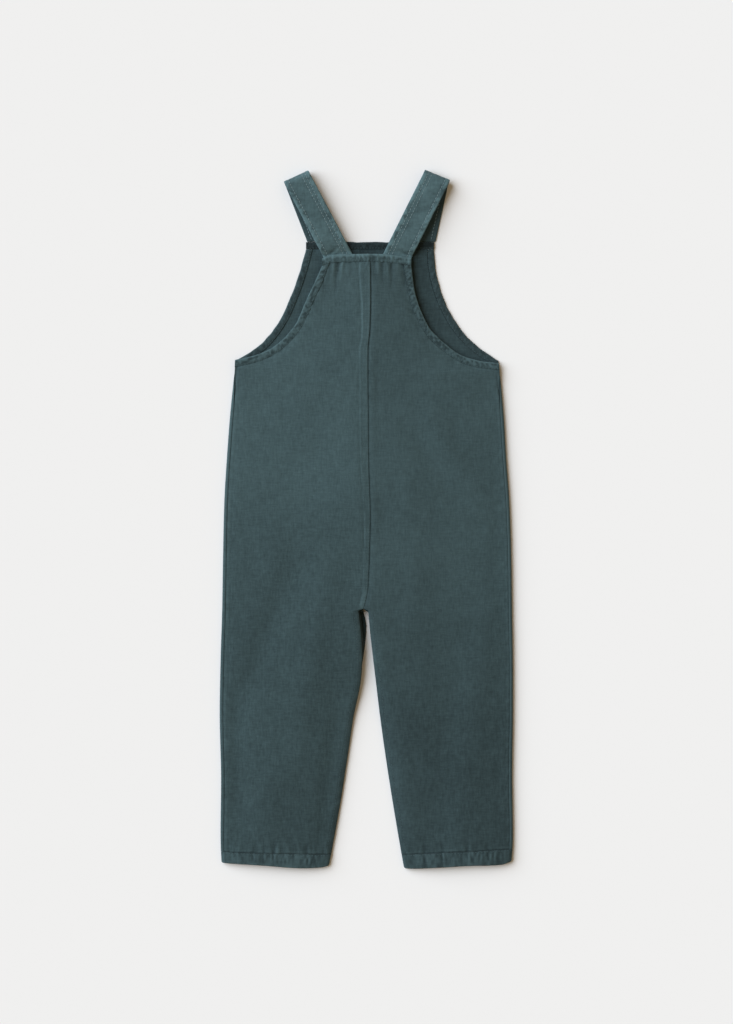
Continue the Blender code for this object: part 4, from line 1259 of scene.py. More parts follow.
@dataclass
class FrontPanel:
    """One half of the front, right side down, with its side edge rolled round to the back.

    Attributes:
        cut: The garment's cut.
        side: Which half.
        pitch: Spacing of the mesh in metres.
        flat_count: Even columns across the flat part.
        roll_steps: Points round the rolled edge.
        edge_radius: Rounding of the panel's edges.
        near: Distances of the columns close to the inner end.
    """

    cut: Cut
    side: Side
    pitch: float = 0.0042
    flat_count: int = 30
    roll_steps: int = 18
    edge_radius: float = 0.0006
    near: tuple[float, ...] = mm(0, 0.3, 0.8, 1.6, 2.5, 3.4, 4.3, 5.2, 6.1, 7.0, 8.0, 9.2, 10.6, 12.2, 14.0)

    @property
    def wrap_length(self) -> float:
        """Length of cloth that the roll and its lip take."""
        return math.pi * self.cut.side_roll + self.cut.side_lip

    def wrapped(self, distance: Array, wrap: float, depth: float) -> tuple[Array, Array]:
        """Rolls cloth up by an angle.

        Args:
            distance: Distances into the wrap zone.
            wrap: The angle.
            depth: How far inside the right side the surface is.

        Returns:
            Places across, and heights.
        """
        roll = self.cut.side_roll
        lip_start = self.wrap_length - self.cut.side_lip
        roll_start = lip_start - roll * wrap
        turn = np.clip((distance - roll_start) / roll, 0.0, wrap)
        beyond = np.maximum(0.0, distance - lip_start)
        across = np.minimum(distance, roll_start) + (roll - depth) * np.sin(turn) + beyond * math.cos(wrap)
        return across, roll - (roll - depth) * np.cos(turn) + beyond * math.sin(wrap)

    def shell(self) -> Shell:
        """Makes the panel's two faces."""
        cut, side = self.cut, self.side
        parts = []
        for (x, y), outer, climb in cut.panel_rows(side, True, mm(0, 0.5, 1.5), self.pitch):
            inset = (cut.front_inseam_inset if y < cut.crotch_y else 0.0) - cut.front_crotch_reach(side, y)
            wrap = 0.0 if climb else math.radians(cut.wrap_at(y).degrees)
            parts.append(self.row(np.array((x + side.sign * inset, y)), np.array(outer), wrap))
        lower, upper, rims, grain = (np.array(part) for part in zip(*parts))
        x, y = upper[..., 0], upper[..., 1]
        ends = np.minimum(y - y[0], y[-1][None] - y)
        rounding = edge_round(np.minimum(rims, np.maximum(ends, 0.0)), self.edge_radius)
        seed = side.pick(81, 93)
        flat = (upper[..., 2] < cut.wall * 1.5) * smooth(0.0, 0.010, rims)
        ease = (Crumple(0.030, 0.00012, seed).at(x, y) + Crumple(0.009, 0.00004, seed + 1).at(x, y)) * flat
        middle, half = (upper + lower) / 2, (upper - lower) / 2
        upper = middle + half * (0.35 + 0.65 * rounding)[..., None]
        lower = middle - half * (0.70 + 0.30 * rounding)[..., None]
        upper[..., 2] += ease
        lower[..., 2] += np.maximum(0.0, ease) * 0.6
        # Dips of the ease are darker and rises lighter. The inside is darker all over as painted shade under the
        # back, and darker still as painted shade under the back bib by the neck. Its other side, which shows at the
        # rolled side edges, is set lighter on the right than on the left to offset the right's painted shade.
        rub = 0.25 * bell(rims, 0.0010) * (lower[..., 2] > 0.002) + ease / 0.0004 - 0.45
        rub -= 0.60 * smooth(0.262, 0.276, y) * bell(x + 0.008, 0.022)
        return Shell(f"front_cloth_{side.title}", upper, lower, grain, rub, under_wear_and_shade=side.pick(0.15, 0.95))

    def row(self, inner: Array, outer: Array, wrap: float) -> tuple[Array, ...]:
        """Lays one row.

        Args:
            inner: Plan place of its inner end.
            outer: Plan place of the side edge.
            wrap: Angle of the roll.

        Returns:
            Right-side points, inner-side points, distances from the nearer end and places on the cloth.
        """
        cut = self.cut
        width = abs(outer[0] - inner[0])
        steps = np.linspace(0.0, 1.0, self.roll_steps + 1)[1:-1]
        zone = self.wrap_length * np.concatenate([steps, [1.0 - 0.0004 / self.wrap_length, 1.0]])
        quarter = self.wrap_length - cut.side_lip - cut.side_roll * max(0.0, wrap - math.pi / 2)
        widest, _ = self.wrapped(np.array([quarter, self.wrap_length]), wrap, 0.0)
        start = width - widest.max()
        reach = self.near[-1]
        even = reach + (start - reach) * np.arange(self.flat_count + 1) / self.flat_count
        flat = np.concatenate([self.near[:-1], even])
        past = cut.front_crotch_reach(self.side, inner[1])
        fall = np.where(
            flat >= past, (flat - past) / cut.inseam_lift_width, (past - flat) / cut.front_crotch_drop
        )
        lift = cut.inseam_lift(inner[1]) * (1.0 - smooth(0.0, 1.0, fall))
        along = np.concatenate([flat, start + zone])
        faces = []
        for depth in (0.0, cut.wall):
            across, height = self.wrapped(zone, wrap, depth)
            plan = np.concatenate([flat, start + across])[:, None] / width * (outer - inner) + inner
            faces.append(np.column_stack([plan, np.concatenate([lift + depth, height])]))
        grain = np.stack([self.side.sign * along + inner[0], faces[0][:, 1]], 1)
        return *faces, np.minimum(along, along[-1] - along), grain

    def build(self, finish: bpy.types.Material) -> bpy.types.Object:
        """Makes the panel with its finish."""
        return place(self.shell().build(finish), f"front_{self.side.title}")


@dataclass
class TurnedHem:
    """A turned hem along an edge of the bib or an armhole: folded cloth, full at its edge.

    Attributes:
        name: Name of the piece.
        node: The solid that it stands for.
        cut: The garment's cut.
        near: Plan places of the stitch line.
        far: Plan places of the folded edge.
        base: Height of the underside at places in plan.
        puckers: The ridges along it.
        full: Thickness of the folded cloth.
        needle: Distance of the stitches from the stitch line.
        seams: Ridges and grooves of the seams that run through it.
        lines: Lighter lines of wear and darker lines along them, a painted shadow beside a seam's ridge among them.
        ragged: How uneven its folded edge is.
        joint: Share of the thickness that is left at the stitch line.
        wear_and_shade_amount: How strongly wear, and the painted shade in the puckers at the stitch line, show on
            it.
        ridge: Height of the full ridge along its edge.
        fill: Share of the full thickness that its middle has.
        shares: The columns, by the share of its width.
    """

    name: str
    node: str
    cut: Cut
    near: Array
    far: Array
    base: Callable[[Array, Array], Array]
    puckers: Puckers
    full: float = 0.0022
    needle: float = 0.0009
    seams: Creases = ()
    lines: Creases = ()
    ragged: float = 0.00030
    joint: float = 0.96
    wear_and_shade_amount: float = 1.0
    ridge: float = 0.0
    fill: float = 1.0
    shares: tuple[float, ...] = (
        0.0, 0.03, 0.08, 0.15, 0.24, 0.35, 0.46, 0.57, 0.68, 0.78, 0.86, 0.92, 0.96, 0.985, 1.0,
    )

    def shell(self) -> Shell:
        """Makes the hem's two faces."""
        shares = np.array(self.shares)
        seed = self.puckers.seed + 5
        walk = walked(self.far)
        out = (self.far - self.near) / np.linalg.norm(self.far - self.near, axis=1)[:, None]
        held = smooth(0.0, 0.004, np.minimum(walk, walk[-1] - walk))
        self.far = self.far + out * (Crumple(0.0062, self.ragged, seed).along(walk) * held)[:, None]
        plan = self.near[:, None] + (self.far - self.near)[:, None] * shares[:, None]
        x, y = plan[..., 0], plan[..., 1]
        width = np.linalg.norm(self.far - self.near, axis=1)[:, None]
        across = shares * width
        along = walk[:, None] + 0.0 * across
        from_edge = width - across
        body = np.sin(math.pi * np.minimum(1.0, 0.22 + 0.62 * shares))
        thick = self.cut.wall + (self.full - self.cut.wall) * body * self.fill
        uneven = 0.60 + Crumple(0.0055, 0.40, seed + 1).along(along)
        wave = self.puckers.at(along, across) * body
        wave -= 0.00026 * uneven * bell(across - self.needle, 0.0005)
        wave += self.ridge * uneven * bell(from_edge - 0.0022, 0.0013)
        wave += sum(seam.at(x, y) for seam in self.seams)
        wave *= smooth(0.0, 0.003, np.minimum(along, along[-1] - along) + 0.0012)
        edge = edge_round(from_edge, 0.0011)
        start = self.joint + (1.0 - self.joint) * edge_round(across, 0.0006)
        middle = self.base(x, y) + thick / 2
        upper_z = middle + (thick / 2 + wave) * edge * start
        under_z = middle - thick / 2 * edge
        flecks = Crumple(0.0015, 0.95 * self.wear_and_shade_amount, seed + 2, 1.5).at(along, across)
        # Pucker ridges are lighter by wear and pucker hollows darker as painted shade.
        rub = np.clip(wave / 0.0005, -1.0, 1.0) * 0.45 + flecks * bell(from_edge - 0.0030, 0.0036)
        rub += (uneven + 0.1) * 1.10 * self.wear_and_shade_amount * bell(from_edge - 0.0007, 0.0007) - 0.16 * self.wear_and_shade_amount
        rub += self.ridge * 3000.0 * uneven * bell(from_edge - 0.0016, 0.0014)
        # Painted shade in the puckers at the stitch line.
        bites = np.maximum(0.0, Crumple(0.0030, 1.6, seed + 3).along(along))
        rub -= (0.06 + bites * self.wear_and_shade_amount * 0.45) * bell(across - 0.0003, 0.0009)
        rub += sum(line.at(x, y) for line in self.lines)
        return Shell(self.name, np.dstack([plan, upper_z]), np.dstack([plan, under_z]), plan.copy(), rub)

    def build(self, finish: bpy.types.Material, thread: Topstitch) -> bpy.types.Object:
        """Makes the hem with its finish, and sews it with the thread."""
        shell = self.shell()
        thread.sew(*shell.trace(needle_columns(self.needle, self.shares, self.near, self.far)))
        return place(shell.build(finish), self.node)


def needle_columns(needle: float, shares: Sequence[float], near: Array, far: Array) -> Array:
    """Columns, with fractions, that lie at a needle's distance from a hem's stitch line."""
    width = np.linalg.norm(far - near, axis=1)
    return np.array([np.interp(needle / w, shares, np.arange(len(shares))) for w in width])


@dataclass
class LegHem:
    """A leg's turned hem: one ring round the opening, puckered where it shows.

    Attributes:
        cut: The garment's cut.
        side: Which leg.
        step: Spacing of the stations in metres.
        roll_stations: Stations round each rolled edge.
        floor_stations: Stations along the floor.
        fullness: How far the hem stands proud of the leg.
        edge_inset: How much shorter the hem is on the floor side.
        needle: Distance of the stitches from the stitch line.
        shares: The columns, by the share of its width.
    """

    cut: Cut
    side: Side
    step: float = 0.0011
    roll_stations: int = 14
    floor_stations: int = 44
    fullness: float = 0.0006
    edge_inset: float = 0.0006
    needle: float = 0.0012
    shares: tuple[float, ...] = (
        0.0, 0.015, 0.04, 0.08, 0.13, 0.20, 0.28, 0.37, 0.46, 0.55, 0.64, 0.73, 0.81, 0.88, 0.93, 0.965, 0.988, 1.0,
    )

    def path(self, width: float) -> Array:
        """Lays the stations round the ring.

        Args:
            width: Width of the leg at the stitch line.

        Returns:
            Rows of distance and height outside, distance and height inside, and how far it is on the back.
        """
        cut = self.cut
        wall, roll, seam = cut.leg_hem_wall, cut.side_roll, cut.inseam_roll
        arch = cut.heights_at(cut.hem_stitch_inner_y).arch
        run = width - seam - roll
        out = []

        def turned(centre: float, radius: float, way: int) -> None:
            """Adds the stations round one rolled edge."""
            for k in range(1, self.roll_stations):
                turn = math.pi * k / self.roll_stations
                s, c = way * math.sin(turn), way * math.cos(turn)
                thin = radius - wall
                out.append((
                    centre + radius * s, radius + radius * c, centre + thin * s, radius + thin * c, max(0.0, c)
                ))

        count = round(run / self.step)
        for k in range(count + 1):
            d = seam + run * k / count
            z = 2.0 * seam + 2.0 * (roll - seam) * d / width + arch * arched(d / width)
            out.append((d, z, d, z - wall, 1.0))
        turned(width - roll, roll, 1)
        for k in range(self.floor_stations + 1):
            d = width - roll - run * k / self.floor_stations
            out.append((d, 0.0, d, wall, 0.0))
        turned(seam, seam, -1)
        return np.array(out)

    def shell(self) -> Shell:
        """Makes the ring's two faces."""
        cut, side = self.cut, self.side
        seed = side.pick(130, 151)
        stitch_inner = read(cut.inseam, side.title, cut.hem_stitch_inner_y)
        stitch_outer = cut.silhouette_x(side, side.pick(*cut.hem_stitch_outer_y))
        edge_inner = read(cut.inseam, side.title, cut.inseam[-1].y)
        edge_outer = cut.silhouette_x(side, cut.silhouette[-1].y)
        width = abs(stitch_outer - stitch_inner)
        path = self.path(width)
        shares = np.array(self.shares)
        faces = []
        for d, z in ((path[:, 0], path[:, 1]), (path[:, 2], path[:, 3])):
            share = d / width
            stitch_y = cut.hem_stitch_y(side, share) - cut.half_gap
            edge_y = np.array([read(cut.hem_edge, side.title, s) for s in share])
            edge_y += self.edge_inset * (1.0 - path[:, 4])
            near = np.stack([stitch_inner + (stitch_outer - stitch_inner) * share, stitch_y], 1)
            far = np.stack([edge_inner + (edge_outer - edge_inner) * share, edge_y], 1)
            plan = near[:, None] + (far - near)[:, None] * shares[:, None]
            faces.append(np.dstack([plan, np.repeat(z[:, None], len(shares), 1)]))
        outer, inner = faces
        length = np.linalg.norm(outer[:, -1, :2] - outer[:, 0, :2], axis=1)[:, None]
        across = shares * length
        along = path[:, :1] + 0.0 * across
        back = 0.25 + 0.75 * smooth(0.0, 0.02, np.minimum(along, width - along))
        back = smooth(0.0, 1.0, path[:, 4:]) * back
        body = np.sin(math.pi * np.minimum(1.0, 0.10 + 0.70 * shares))
        wave = Puckers(0.0078, 0.00050, seed, 0.22, 0.0110).at(along, across)
        wave += Puckers(0.0040, 0.00020, seed + 3, -0.3, 0.0050).at(along, across - 0.003)
        for x, depth in side.pick(*HEM_CREASES):
            away = outer[..., 0] - x - 0.15 * (across - 0.006)
            pair = bell(away, 0.0010) - 0.5 * bell(away - 0.0024, 0.0012)
            wave -= depth * pair * bell(across - 0.0045, 0.0055)
        from_side = np.abs(outer[..., 0] - edge_outer)
        wave -= 0.00040 * bell(from_side - 0.0047, 0.0007) - 0.00025 * bell(from_side - 0.0062, 0.0010)
        uneven = 0.60 + Crumple(0.0048, 0.40, seed + 6).along(along)
        rise = (self.fullness + wave) * body * back
        rise -= 0.00030 * uneven * bell(across - self.needle, 0.0005) * back
        outer[..., 2] += rise
        inner[..., 2] += rise * 0.8
        middle, half = (outer + inner) / 2, (outer - inner) / 2
        edge = edge_round(length - across, 0.00095)
        start = 0.92 + 0.08 * edge_round(across, 0.0008)
        outer = middle + half * (edge * start)[..., None]
        inner = middle - half * edge[..., None]
        # Pucker ridges are lighter by wear and pucker hollows darker as painted shade, on the back side only.
        rub = np.clip(wave / 0.0006, -1.0, 1.0) * back * 0.8
        rub += (uneven - 0.15) * 0.7 * bell(length - across - 0.0012, 0.0011)
        rub += Crumple(0.0021, 0.80, seed + 7, 3.0).at(along, across) * back
        rub -= (0.35 + Crumple(0.0036, 0.55, seed + 8).along(along)) * bell(across - 0.0003, 0.0008)
        return Shell(f"leg_hem_cloth_{side.title}", outer, inner, outer[..., :2].copy(), rub, ring=True)

    def build(self, finish: bpy.types.Material, thread: Topstitch) -> bpy.types.Object:
        """Makes the hem with its finish, and sews it with the thread where it shows."""
        shell = self.shell()
        columns = needle_columns(self.needle, self.shares, shell.upper[:, 0, :2], shell.upper[:, -1, :2])
        line, normals = shell.trace(columns)
        shown = line[:, 2] > self.cut.side_roll * 0.8
        thread.sew(line[shown], normals[shown])
        return place(shell.build(finish), f"leg_hem_{self.side.title}")


@dataclass
class Strap:
    """A strap: out from under the back bib's hem, over a soft fold, and along the floor to the front bib.

    Attributes:
        cut: The garment's cut.
        side: Which strap.
        width: Its width.
        tuck: How far it goes in under the hem.
        loop: Radius of the fold.
        turn: Share of each run over which its cross lines turn.
        step: Spacing of the mesh along it.
        columns: Columns across it.
        needles: Distance of the two edge rows of stitches from the edges.
        neck_needle: Distance of the extra row from the edge on the neck side.
        fold_steps: Cross lines round the fold.
        back_rows: Share of the upper run, and the height there.
        front_shares: Shares of the lower run.
    """

    cut: Cut
    side: Side
    width: float = 0.0286
    tuck: float = 0.0070
    loop: float = 0.0061
    turn: float = 0.22
    step: float = 0.0014
    columns: int = 34
    needles: float = 0.0050
    neck_needle: float = 0.0086
    fold_steps: int = 16
    back_rows: tuple[Pair, ...] = (
        (0.00, 0.0054), (0.05, 0.0056), (0.12, 0.0082), (0.20, 0.0098), (0.35, 0.0112), (0.50, 0.0118),
        (0.65, 0.0121), (0.80, 0.0122), (0.90, 0.0122),
    )
    front_shares: tuple[float, ...] = (0.15, 0.35, 0.55, 0.75, 0.90, 1.00)

    def rows(self) -> Array:
        """Lays the strap's cross lines, each with the places of its left and its right end."""
        plan = self.side.pick(*STRAP_PLANS)
        fold_way = np.array([-math.sin(plan.slant), math.cos(plan.slant)])
        fold = np.array(plan.fold) - fold_way * self.loop
        back_end, front_end = np.array(plan.back_end), np.array(plan.front_end)
        back_way, front_way = (way / np.linalg.norm(way) for way in (fold - back_end, front_end - fold))
        back_slant = math.atan2(-back_way[0], back_way[1])
        front_slant = math.atan2(front_way[0], -front_way[1])
        out = []

        def add(middle: Array, height: float, slant: float, run_slant: float) -> None:
            """Adds one cross line."""
            half = np.array([math.cos(slant), math.sin(slant)]) * self.width / 2 / math.cos(slant - run_slant)
            out.append([(*(middle - half), height), (*(middle + half), height)])

        add(back_end - back_way * self.tuck, self.back_rows[0][1], 0.0, back_slant)
        for share, height in self.back_rows:
            slant = back_slant * min(1.0, share / self.turn)
            if share > 1.0 - self.turn:
                slant += (plan.slant - back_slant) * (share - 1.0 + self.turn) / self.turn
            add(back_end + (fold - back_end) * share, height, slant, back_slant)
        for k in range(self.fold_steps + 1):
            turn = math.pi * k / self.fold_steps
            middle = fold + fold_way * self.loop * math.sin(turn)
            add(middle, self.loop * (1.0 + math.cos(turn)), plan.slant, plan.slant)
        for share in self.front_shares:
            slant = front_slant + (plan.slant - front_slant) * max(0.0, 1.0 - share / self.turn)
            slant *= min(1.0, (1.0 - share) / self.turn)
            add(fold + (front_end - fold) * share, 0.0, slant, front_slant)
        return np.array(out)

    def shell(self) -> Shell:
        """Makes the strap's two faces."""
        side = self.side
        seed = side.pick(170, 190)
        rows = self.rows()
        knots = walked(rows.mean(1))
        places = spaced(knots[-1], mm(0, 0.3, 0.9), mm(0.9, 0.3, 0), self.step)
        ends = np.array([
            [[hermite(knots, rows[:, e, k], t) for k in range(3)] for e in (0, 1)] for t in places
        ])
        ends[..., 2] = np.maximum(ends[..., 2], 0.0)
        even = np.linspace(0.0, 1.0, self.columns + 1)
        even = 0.45 * (1.0 - np.cos(math.pi * even)) / 2 + 0.55 * even
        upper = ends[:, None, 0] + (ends[:, 1] - ends[:, 0])[:, None] * even[:, None]
        normal = np.cross(np.gradient(upper, axis=1), np.gradient(upper, axis=0))
        normal /= np.linalg.norm(normal, axis=2, keepdims=True)
        across = even * self.width + 0.0 * places[:, None]
        along = places[:, None] + 0.0 * across
        rim = np.minimum(across, self.width - across)
        neck = side.pick(self.width - across, across)
        uneven = 0.70 + Crumple(0.0042, 0.30, seed + 8).at(along, across * 0.2)
        wave = Puckers(0.0050, 0.00036, seed, 0.9).at(along, rim) * bell(rim - 0.0022, 0.0024)
        wave -= 0.00034 * uneven * bell(rim - self.needles, 0.0006)
        wave -= 0.00024 * uneven * bell(neck - self.neck_needle, 0.0006)
        wave += 0.00016 * bell(rim - 0.0030, 0.0016)
        wave += Crumple(0.014, 0.00022, seed + 4, 1.6).at(along, across)
        wave += Crumple(0.0045, 0.00008, seed + 6).at(along, across)
        wave += sum(crease.at(across, along) for crease in side.pick(*STRAP_CREASES))
        ends_away = np.minimum(along, places[-1] - along)
        rounding = edge_round(np.minimum(rim, ends_away + 0.0002), 0.0009)
        half = self.cut.strap_wall / 2
        raised = smooth(0.0008, 0.0045, upper[..., 2])
        middle = upper - normal * half
        top = middle + normal * ((half + wave * raised) * rounding)[..., None]
        under = middle - normal * ((half + wave * (1.0 - raised)) * rounding)[..., None]
        fold = np.array(side.pick(*STRAP_PLANS).fold)
        # A painted highlight on top of the fold.
        folded = smooth(self.loop * 1.55, self.loop * 1.95, upper[..., 2])
        folded = folded * bell(np.linalg.norm(middle[..., :2] - fold, axis=2) - 0.004, 0.008)
        # Ridges are lighter by wear, and creases and hollows darker as painted shade.
        rub = np.clip(wave / 0.0004, -1.0, 1.0) * 0.65 + uneven * 0.75 * bell(rim - 0.0010, 0.0010)
        rub += 0.25 * folded - 0.25 * uneven * bell(rim - self.needles - 0.0009, 0.0006)
        rub -= 0.30 * uneven * bell(neck - self.neck_needle - 0.0009, 0.0006)
        rub += (0.20 + Crumple(0.0023, 1.35, seed + 9).at(along, across)) * bell(rim - 0.0024, 0.0028)
        rub += Crumple(0.0030, 0.22, seed + 10).at(along * 1.6, across)
        # The strap's other side, which faces up along the front run after the fold, is darkest as painted shade.
        return Shell(f"strap_cloth_{side.title}", top, under, np.dstack([across, along]), rub, under_wear_and_shade=-1.0)

    def build(self, finish: bpy.types.Material, thread: Topstitch) -> bpy.types.Object:
        """Makes the strap with its finish, and sews its rows with the thread."""
        shell = self.shell()
        across = shell.grain[0, :, 0]
        neck = self.side.pick(self.width - self.neck_needle, self.neck_needle)
        rows = np.arange(4, len(shell.upper) - 3)
        height = shell.upper[rows, len(across) // 2, 2]
        for spot in (self.needles, self.width - self.needles, neck):
            column = np.interp(spot, across, np.arange(len(across)))
            for keep, below in ((rows[height > self.loop * 0.6], False), (rows[height < 0.0002], True)):
                thread.sew(*shell.trace(np.full(len(keep), column), keep, below))
        return place(shell.build(finish), f"strap_{self.side.title}")


@dataclass
class Dungarees:
    """The whole garment.

    Attributes:
        cut: Its cut.
    """

    cut: Cut = field(default_factory=Cut)

    def finishes(self) -> dict[str, bpy.types.Material]:
        """Makes the cloth's and the thread's materials."""
        weave, dye = TwillWeave().build(), GarmentDye().build()
        left, right = PAINTED_FALLOFF
        # The tones hold painted light and shade as well as the cloth's own nap: the right-hand pieces are darker
        # than the left ones because the light comes from the left; the front's insides, their armhole hems and most
        # of all the front hem are darker as painted shade under the back and the straps; the straps are lighter as
        # painted light on their raised run.
        rows = (
            ("back_left", "back left", 1.06, left),
            ("back_right", "back right", 0.94, right),
            ("front_left", "front left", 1.06, left),
            ("front_right", "front right", 0.82, right),
            ("arm_front_left", "front left armhole hem", 0.72, ()),
            ("arm_front_right", "front right armhole hem", 0.68, ()),
            ("arm_back_left", "back left armhole hem", 1.04, left),
            ("arm_back_right", "back right armhole hem", 0.95, right),
            ("front_hem", "front hem", 0.37, ()),
            ("back_hem", "back hem", 1.22, left),
            ("leg_hem_left", "left leg hem", 0.90, ()),
            ("leg_hem_right", "right leg hem", 0.79, ()),
            ("strap", "straps", 1.56, ()),
        )
        out = {
            key: TwillFinish(f"twill {name}", tone, fade).build(weave, dye) for key, name, tone, fade in rows
        }
        out["thread"] = ThreadFinish().build()
        out["strap_thread"] = ThreadFinish("strap thread", (0.150, 0.215, 0.230)).build()
        return out

    def armhole_hem(self, side: Side, front: bool) -> TurnedHem:
        """Lays one armhole hem, the front's or the back's."""
        cut = self.cut
        edge = PlanCurve(cut.armhole(side, front))
        shares = np.linspace(0.0, 1.0, round(edge.length / 0.0012) + 1)
        near = cut.armhole_stitch(side, front).beside(shares, side.sign * cut.half_gap)
        far = edge.at(shares)
        near[-1, 1] = min(near[-1, 1], far[-1, 1]) if front else near[-1, 1] - cut.half_gap
        far[-1, 1] -= cut.half_gap
        floor = np.zeros(len(near))
        if front:
            word, seed, rise, wear_and_shade_amount, fill = "front", side.pick(230, 240), 0.00022, 0.9, 1.0
        else:
            word, seed, rise, wear_and_shade_amount, fill = "back", side.pick(210, 220), 0.00052, 1.5, 0.55
            floor = np.array([read(cut.back_heights, "outer", y) for y in near[:, 1]])
        return TurnedHem(
            f"armhole_hem_cloth_{word}_{side.title}", f"armhole_hem_{word}_{side.title}", cut, near, far,
            lambda x, y: floor[:, None] + np.zeros_like(x), Puckers(0.0060, rise, seed, -0.9 * side.sign),
            wear_and_shade_amount=wear_and_shade_amount, fill=fill,
        )

    def back_bib_hem(self) -> TurnedHem:
        """Lays the hem across the top of the back."""
        cut = self.cut
        edge = PlanCurve(cut.back_bib_edge)
        shares = np.linspace(0.0, 1.0, round(edge.length / 0.0010) + 1)
        near = PlanCurve(cut.back_bib_stitch).at(shares) + np.array([0.0, cut.half_gap])

        def base(x: float, y: float) -> float:
            """Height of the hem's underside at a place in plan."""
            heights = cut.heights_at(float(y))
            away = abs(x - read(cut.centre_back, "x", float(y))) / cut.bib_half_width
            return heights.inner + (heights.outer - heights.inner) * min(1.0, away)

        low, high = 0.2685, 0.2800
        seam, fell = read(cut.centre_back, "x", high), read(cut.centre_back, "fell", high)
        seams = (
            Crease(seam, low, seam, high, 0.0010, -0.00090),
            Crease(seam - 0.0024, low, seam - 0.0022, high, 0.0016, 0.00045),
            Crease(seam - fell + 0.0006, high, seam - fell - 0.0004, low, 0.0011, 0.00036),
            Crease(seam + 0.0030, low, seam + 0.0020, high, 0.0022, -0.00040),
        )
        lines = (
            Crease(seam - 0.0022, low, seam - 0.0019, high, 0.0009, 1.10),
            Crease(seam - fell, high, seam - fell, low, 0.0008, 0.80),
            # A painted shadow beside the seam's ridge, on the side away from the light.
            Crease(seam + 0.0016, low, seam + 0.0018, high, 0.0020, -0.90),
            Crease(-0.0430, 0.2738, -0.0160, 0.2765, 0.0012, 0.75),
            Crease(0.0440, 0.2702, 0.0110, 0.2714, 0.0011, 0.65),
        )
        return TurnedHem(
            "bib_hem_cloth_back", "bib_hem_back", cut, near, edge.at(shares), np.vectorize(base),
            Puckers(0.0054, 0.00066, 250, 0.3), wear_and_shade_amount=1.3, ridge=0.00040, seams=seams, lines=lines,
        )

    def front_bib_hem(self) -> TurnedHem:
        """Lays the hem across the top of the front, seen from inside."""
        cut = self.cut
        left, right = (armhole[-1].x for armhole in cut.front_armhole)
        x = np.linspace(left, right, round((right - left) / 0.0012) + 1)
        near, far = (
            np.stack([x, np.full_like(x, y)], 1)
            for y in (cut.front_bib_stitch + cut.half_gap, cut.front_bib_top)
        )
        return TurnedHem(
            "bib_hem_cloth_front", "bib_hem_front", cut, near, far, lambda x, y: np.zeros_like(x),
            Puckers(0.0072, 0.00022, 260, 0.3), ragged=0.00040,
            seams=(Crease(-0.0066, 0.2925, -0.0066, 0.2835, 0.0009, -0.00060),),
        )

    def build(self) -> None:
        cut, finishes = self.cut, self.finishes()
        seam_thread, hem_thread = Topstitch("topstitch_seams"), Topstitch("topstitch_hems")
        strap_thread = Topstitch("topstitch_straps", pitch=0.0034, radius=0.00034)
        self.back_bib_hem().build(finishes["back_hem"], hem_thread)
        self.front_bib_hem().build(finishes["front_hem"], hem_thread)
        for side in Side:
            word = side.title
            BackPanel(cut, side).build(finishes[f"back_{word}"], seam_thread)
            FrontPanel(cut, side).build(finishes[f"front_{word}"])
            for key, front in ((f"arm_back_{word}", False), (f"arm_front_{word}", True)):
                self.armhole_hem(side, front).build(finishes[key], hem_thread)
            LegHem(cut, side).build(finishes[f"leg_hem_{word}"], hem_thread)
            Strap(cut, side).build(finishes["strap"], strap_thread)
        for thread, finish in ((seam_thread, "thread"), (hem_thread, "thread"), (strap_thread, "strap_thread")):
            thread.build(finishes[finish])
        for side in Side:
            word = side.title


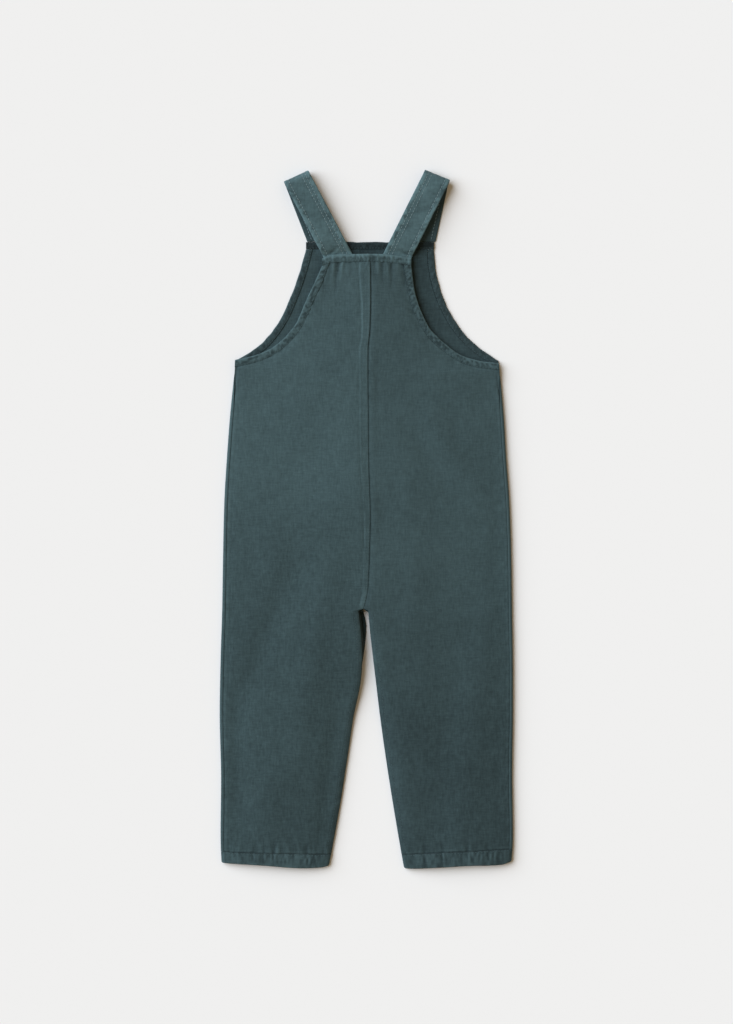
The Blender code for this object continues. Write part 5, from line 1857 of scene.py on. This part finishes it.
@dataclass
class Studio:
    """The pale floor, the soft light and the camera straight above.

    Attributes:
        view_height: Height of the picture on the garment, in metres.
        view_centre: Plan place of the picture's centre.
        camera_height: Height of the camera.
        surface_height: Height at which the view's height is measured.
        floor_colour: The floor's colour.
        floor_size: Half the floor's width.
        floor_drop: How far the floor lies below the garment, so that the two don't meet.
        key_direction: Where the main light comes from.
        key_angle: How wide the main light is, in degrees.
        key_strength: Its strength.
        key_colour: Its colour.
        fill_strength: Strength of the even fill.
        fill_colour: Its colour.
    """

    view_height: float = 1.0752
    view_centre: Pair = (0.0, 0.00735)
    camera_height: float = 3.2
    surface_height: float = 0.008
    floor_colour: Colour = (0.80, 0.80, 0.80)
    floor_size: float = 14.0
    floor_drop: float = 0.0003
    key_direction: Colour = (-0.90, 0.42, 0.76)
    key_angle: float = 64.0
    key_strength: float = 4.26
    key_colour: Colour = (0.905, 1.0, 1.115)
    fill_strength: float = 0.262
    fill_colour: Colour = (1.31, 1.0, 0.61)

    def build_floor(self) -> None:
        """Makes the floor."""
        material, sheet, shader = new_material("pale floor")
        colour = (*self.floor_colour, 1.0)
        sheet.put(shader, {"Base Color": colour, "Roughness": 1.0, "Specular IOR Level": 0.0})
        size = self.floor_size
        corners = [(x * size, y * size, 0.0) for x, y in ((-1, -1), (1, -1), (1, 1), (-1, 1))]
        floor = new_piece("floor", corners, [(0, 1, 2, 3)], material)
        floor.location.z = -self.floor_drop

    def build_light(self) -> None:
        """Sets the main light and the even fill."""
        data = bpy.data.lights.new("key", "SUN")
        data.energy = self.key_strength
        data.color = self.key_colour
        data.angle = math.radians(self.key_angle)
        key = bpy.data.objects.new("key", data)
        key.rotation_euler = Vector(self.key_direction).to_track_quat("Z", "Y").to_euler()
        bpy.context.scene.collection.objects.link(key)
        world = bpy.data.worlds.new("studio")
        world.use_nodes = True
        sky = world.node_tree.nodes["Background"]
        sky.inputs["Color"].default_value = (*self.fill_colour, 1.0)
        sky.inputs["Strength"].default_value = self.fill_strength
        bpy.context.scene.world = world

    def build_camera(self) -> None:
        """Makes the camera that looks straight down."""
        data = bpy.data.cameras.new("camera")
        data.lens = data.sensor_width * (self.camera_height - self.surface_height) / self.view_height
        data.clip_end = 20.0
        camera = bpy.data.objects.new("camera", data)
        camera.location = (*self.view_centre, self.camera_height)
        bpy.context.scene.collection.objects.link(camera)
        bpy.context.scene.camera = camera

    def build(self) -> None:
        """Makes the floor, the lights and the camera."""
        self.build_floor()
        self.build_light()
        self.build_camera()
        view = bpy.context.scene.view_settings
        view.view_transform = "Standard"
        view.look = "None"


def main() -> None:
    """Builds the garment and the studio."""
    logging.basicConfig(level=logging.INFO, format="%(name)s: %(message)s")
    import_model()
    Studio().build()
    Dungarees().build()


if __name__ == "__main__":
    main()
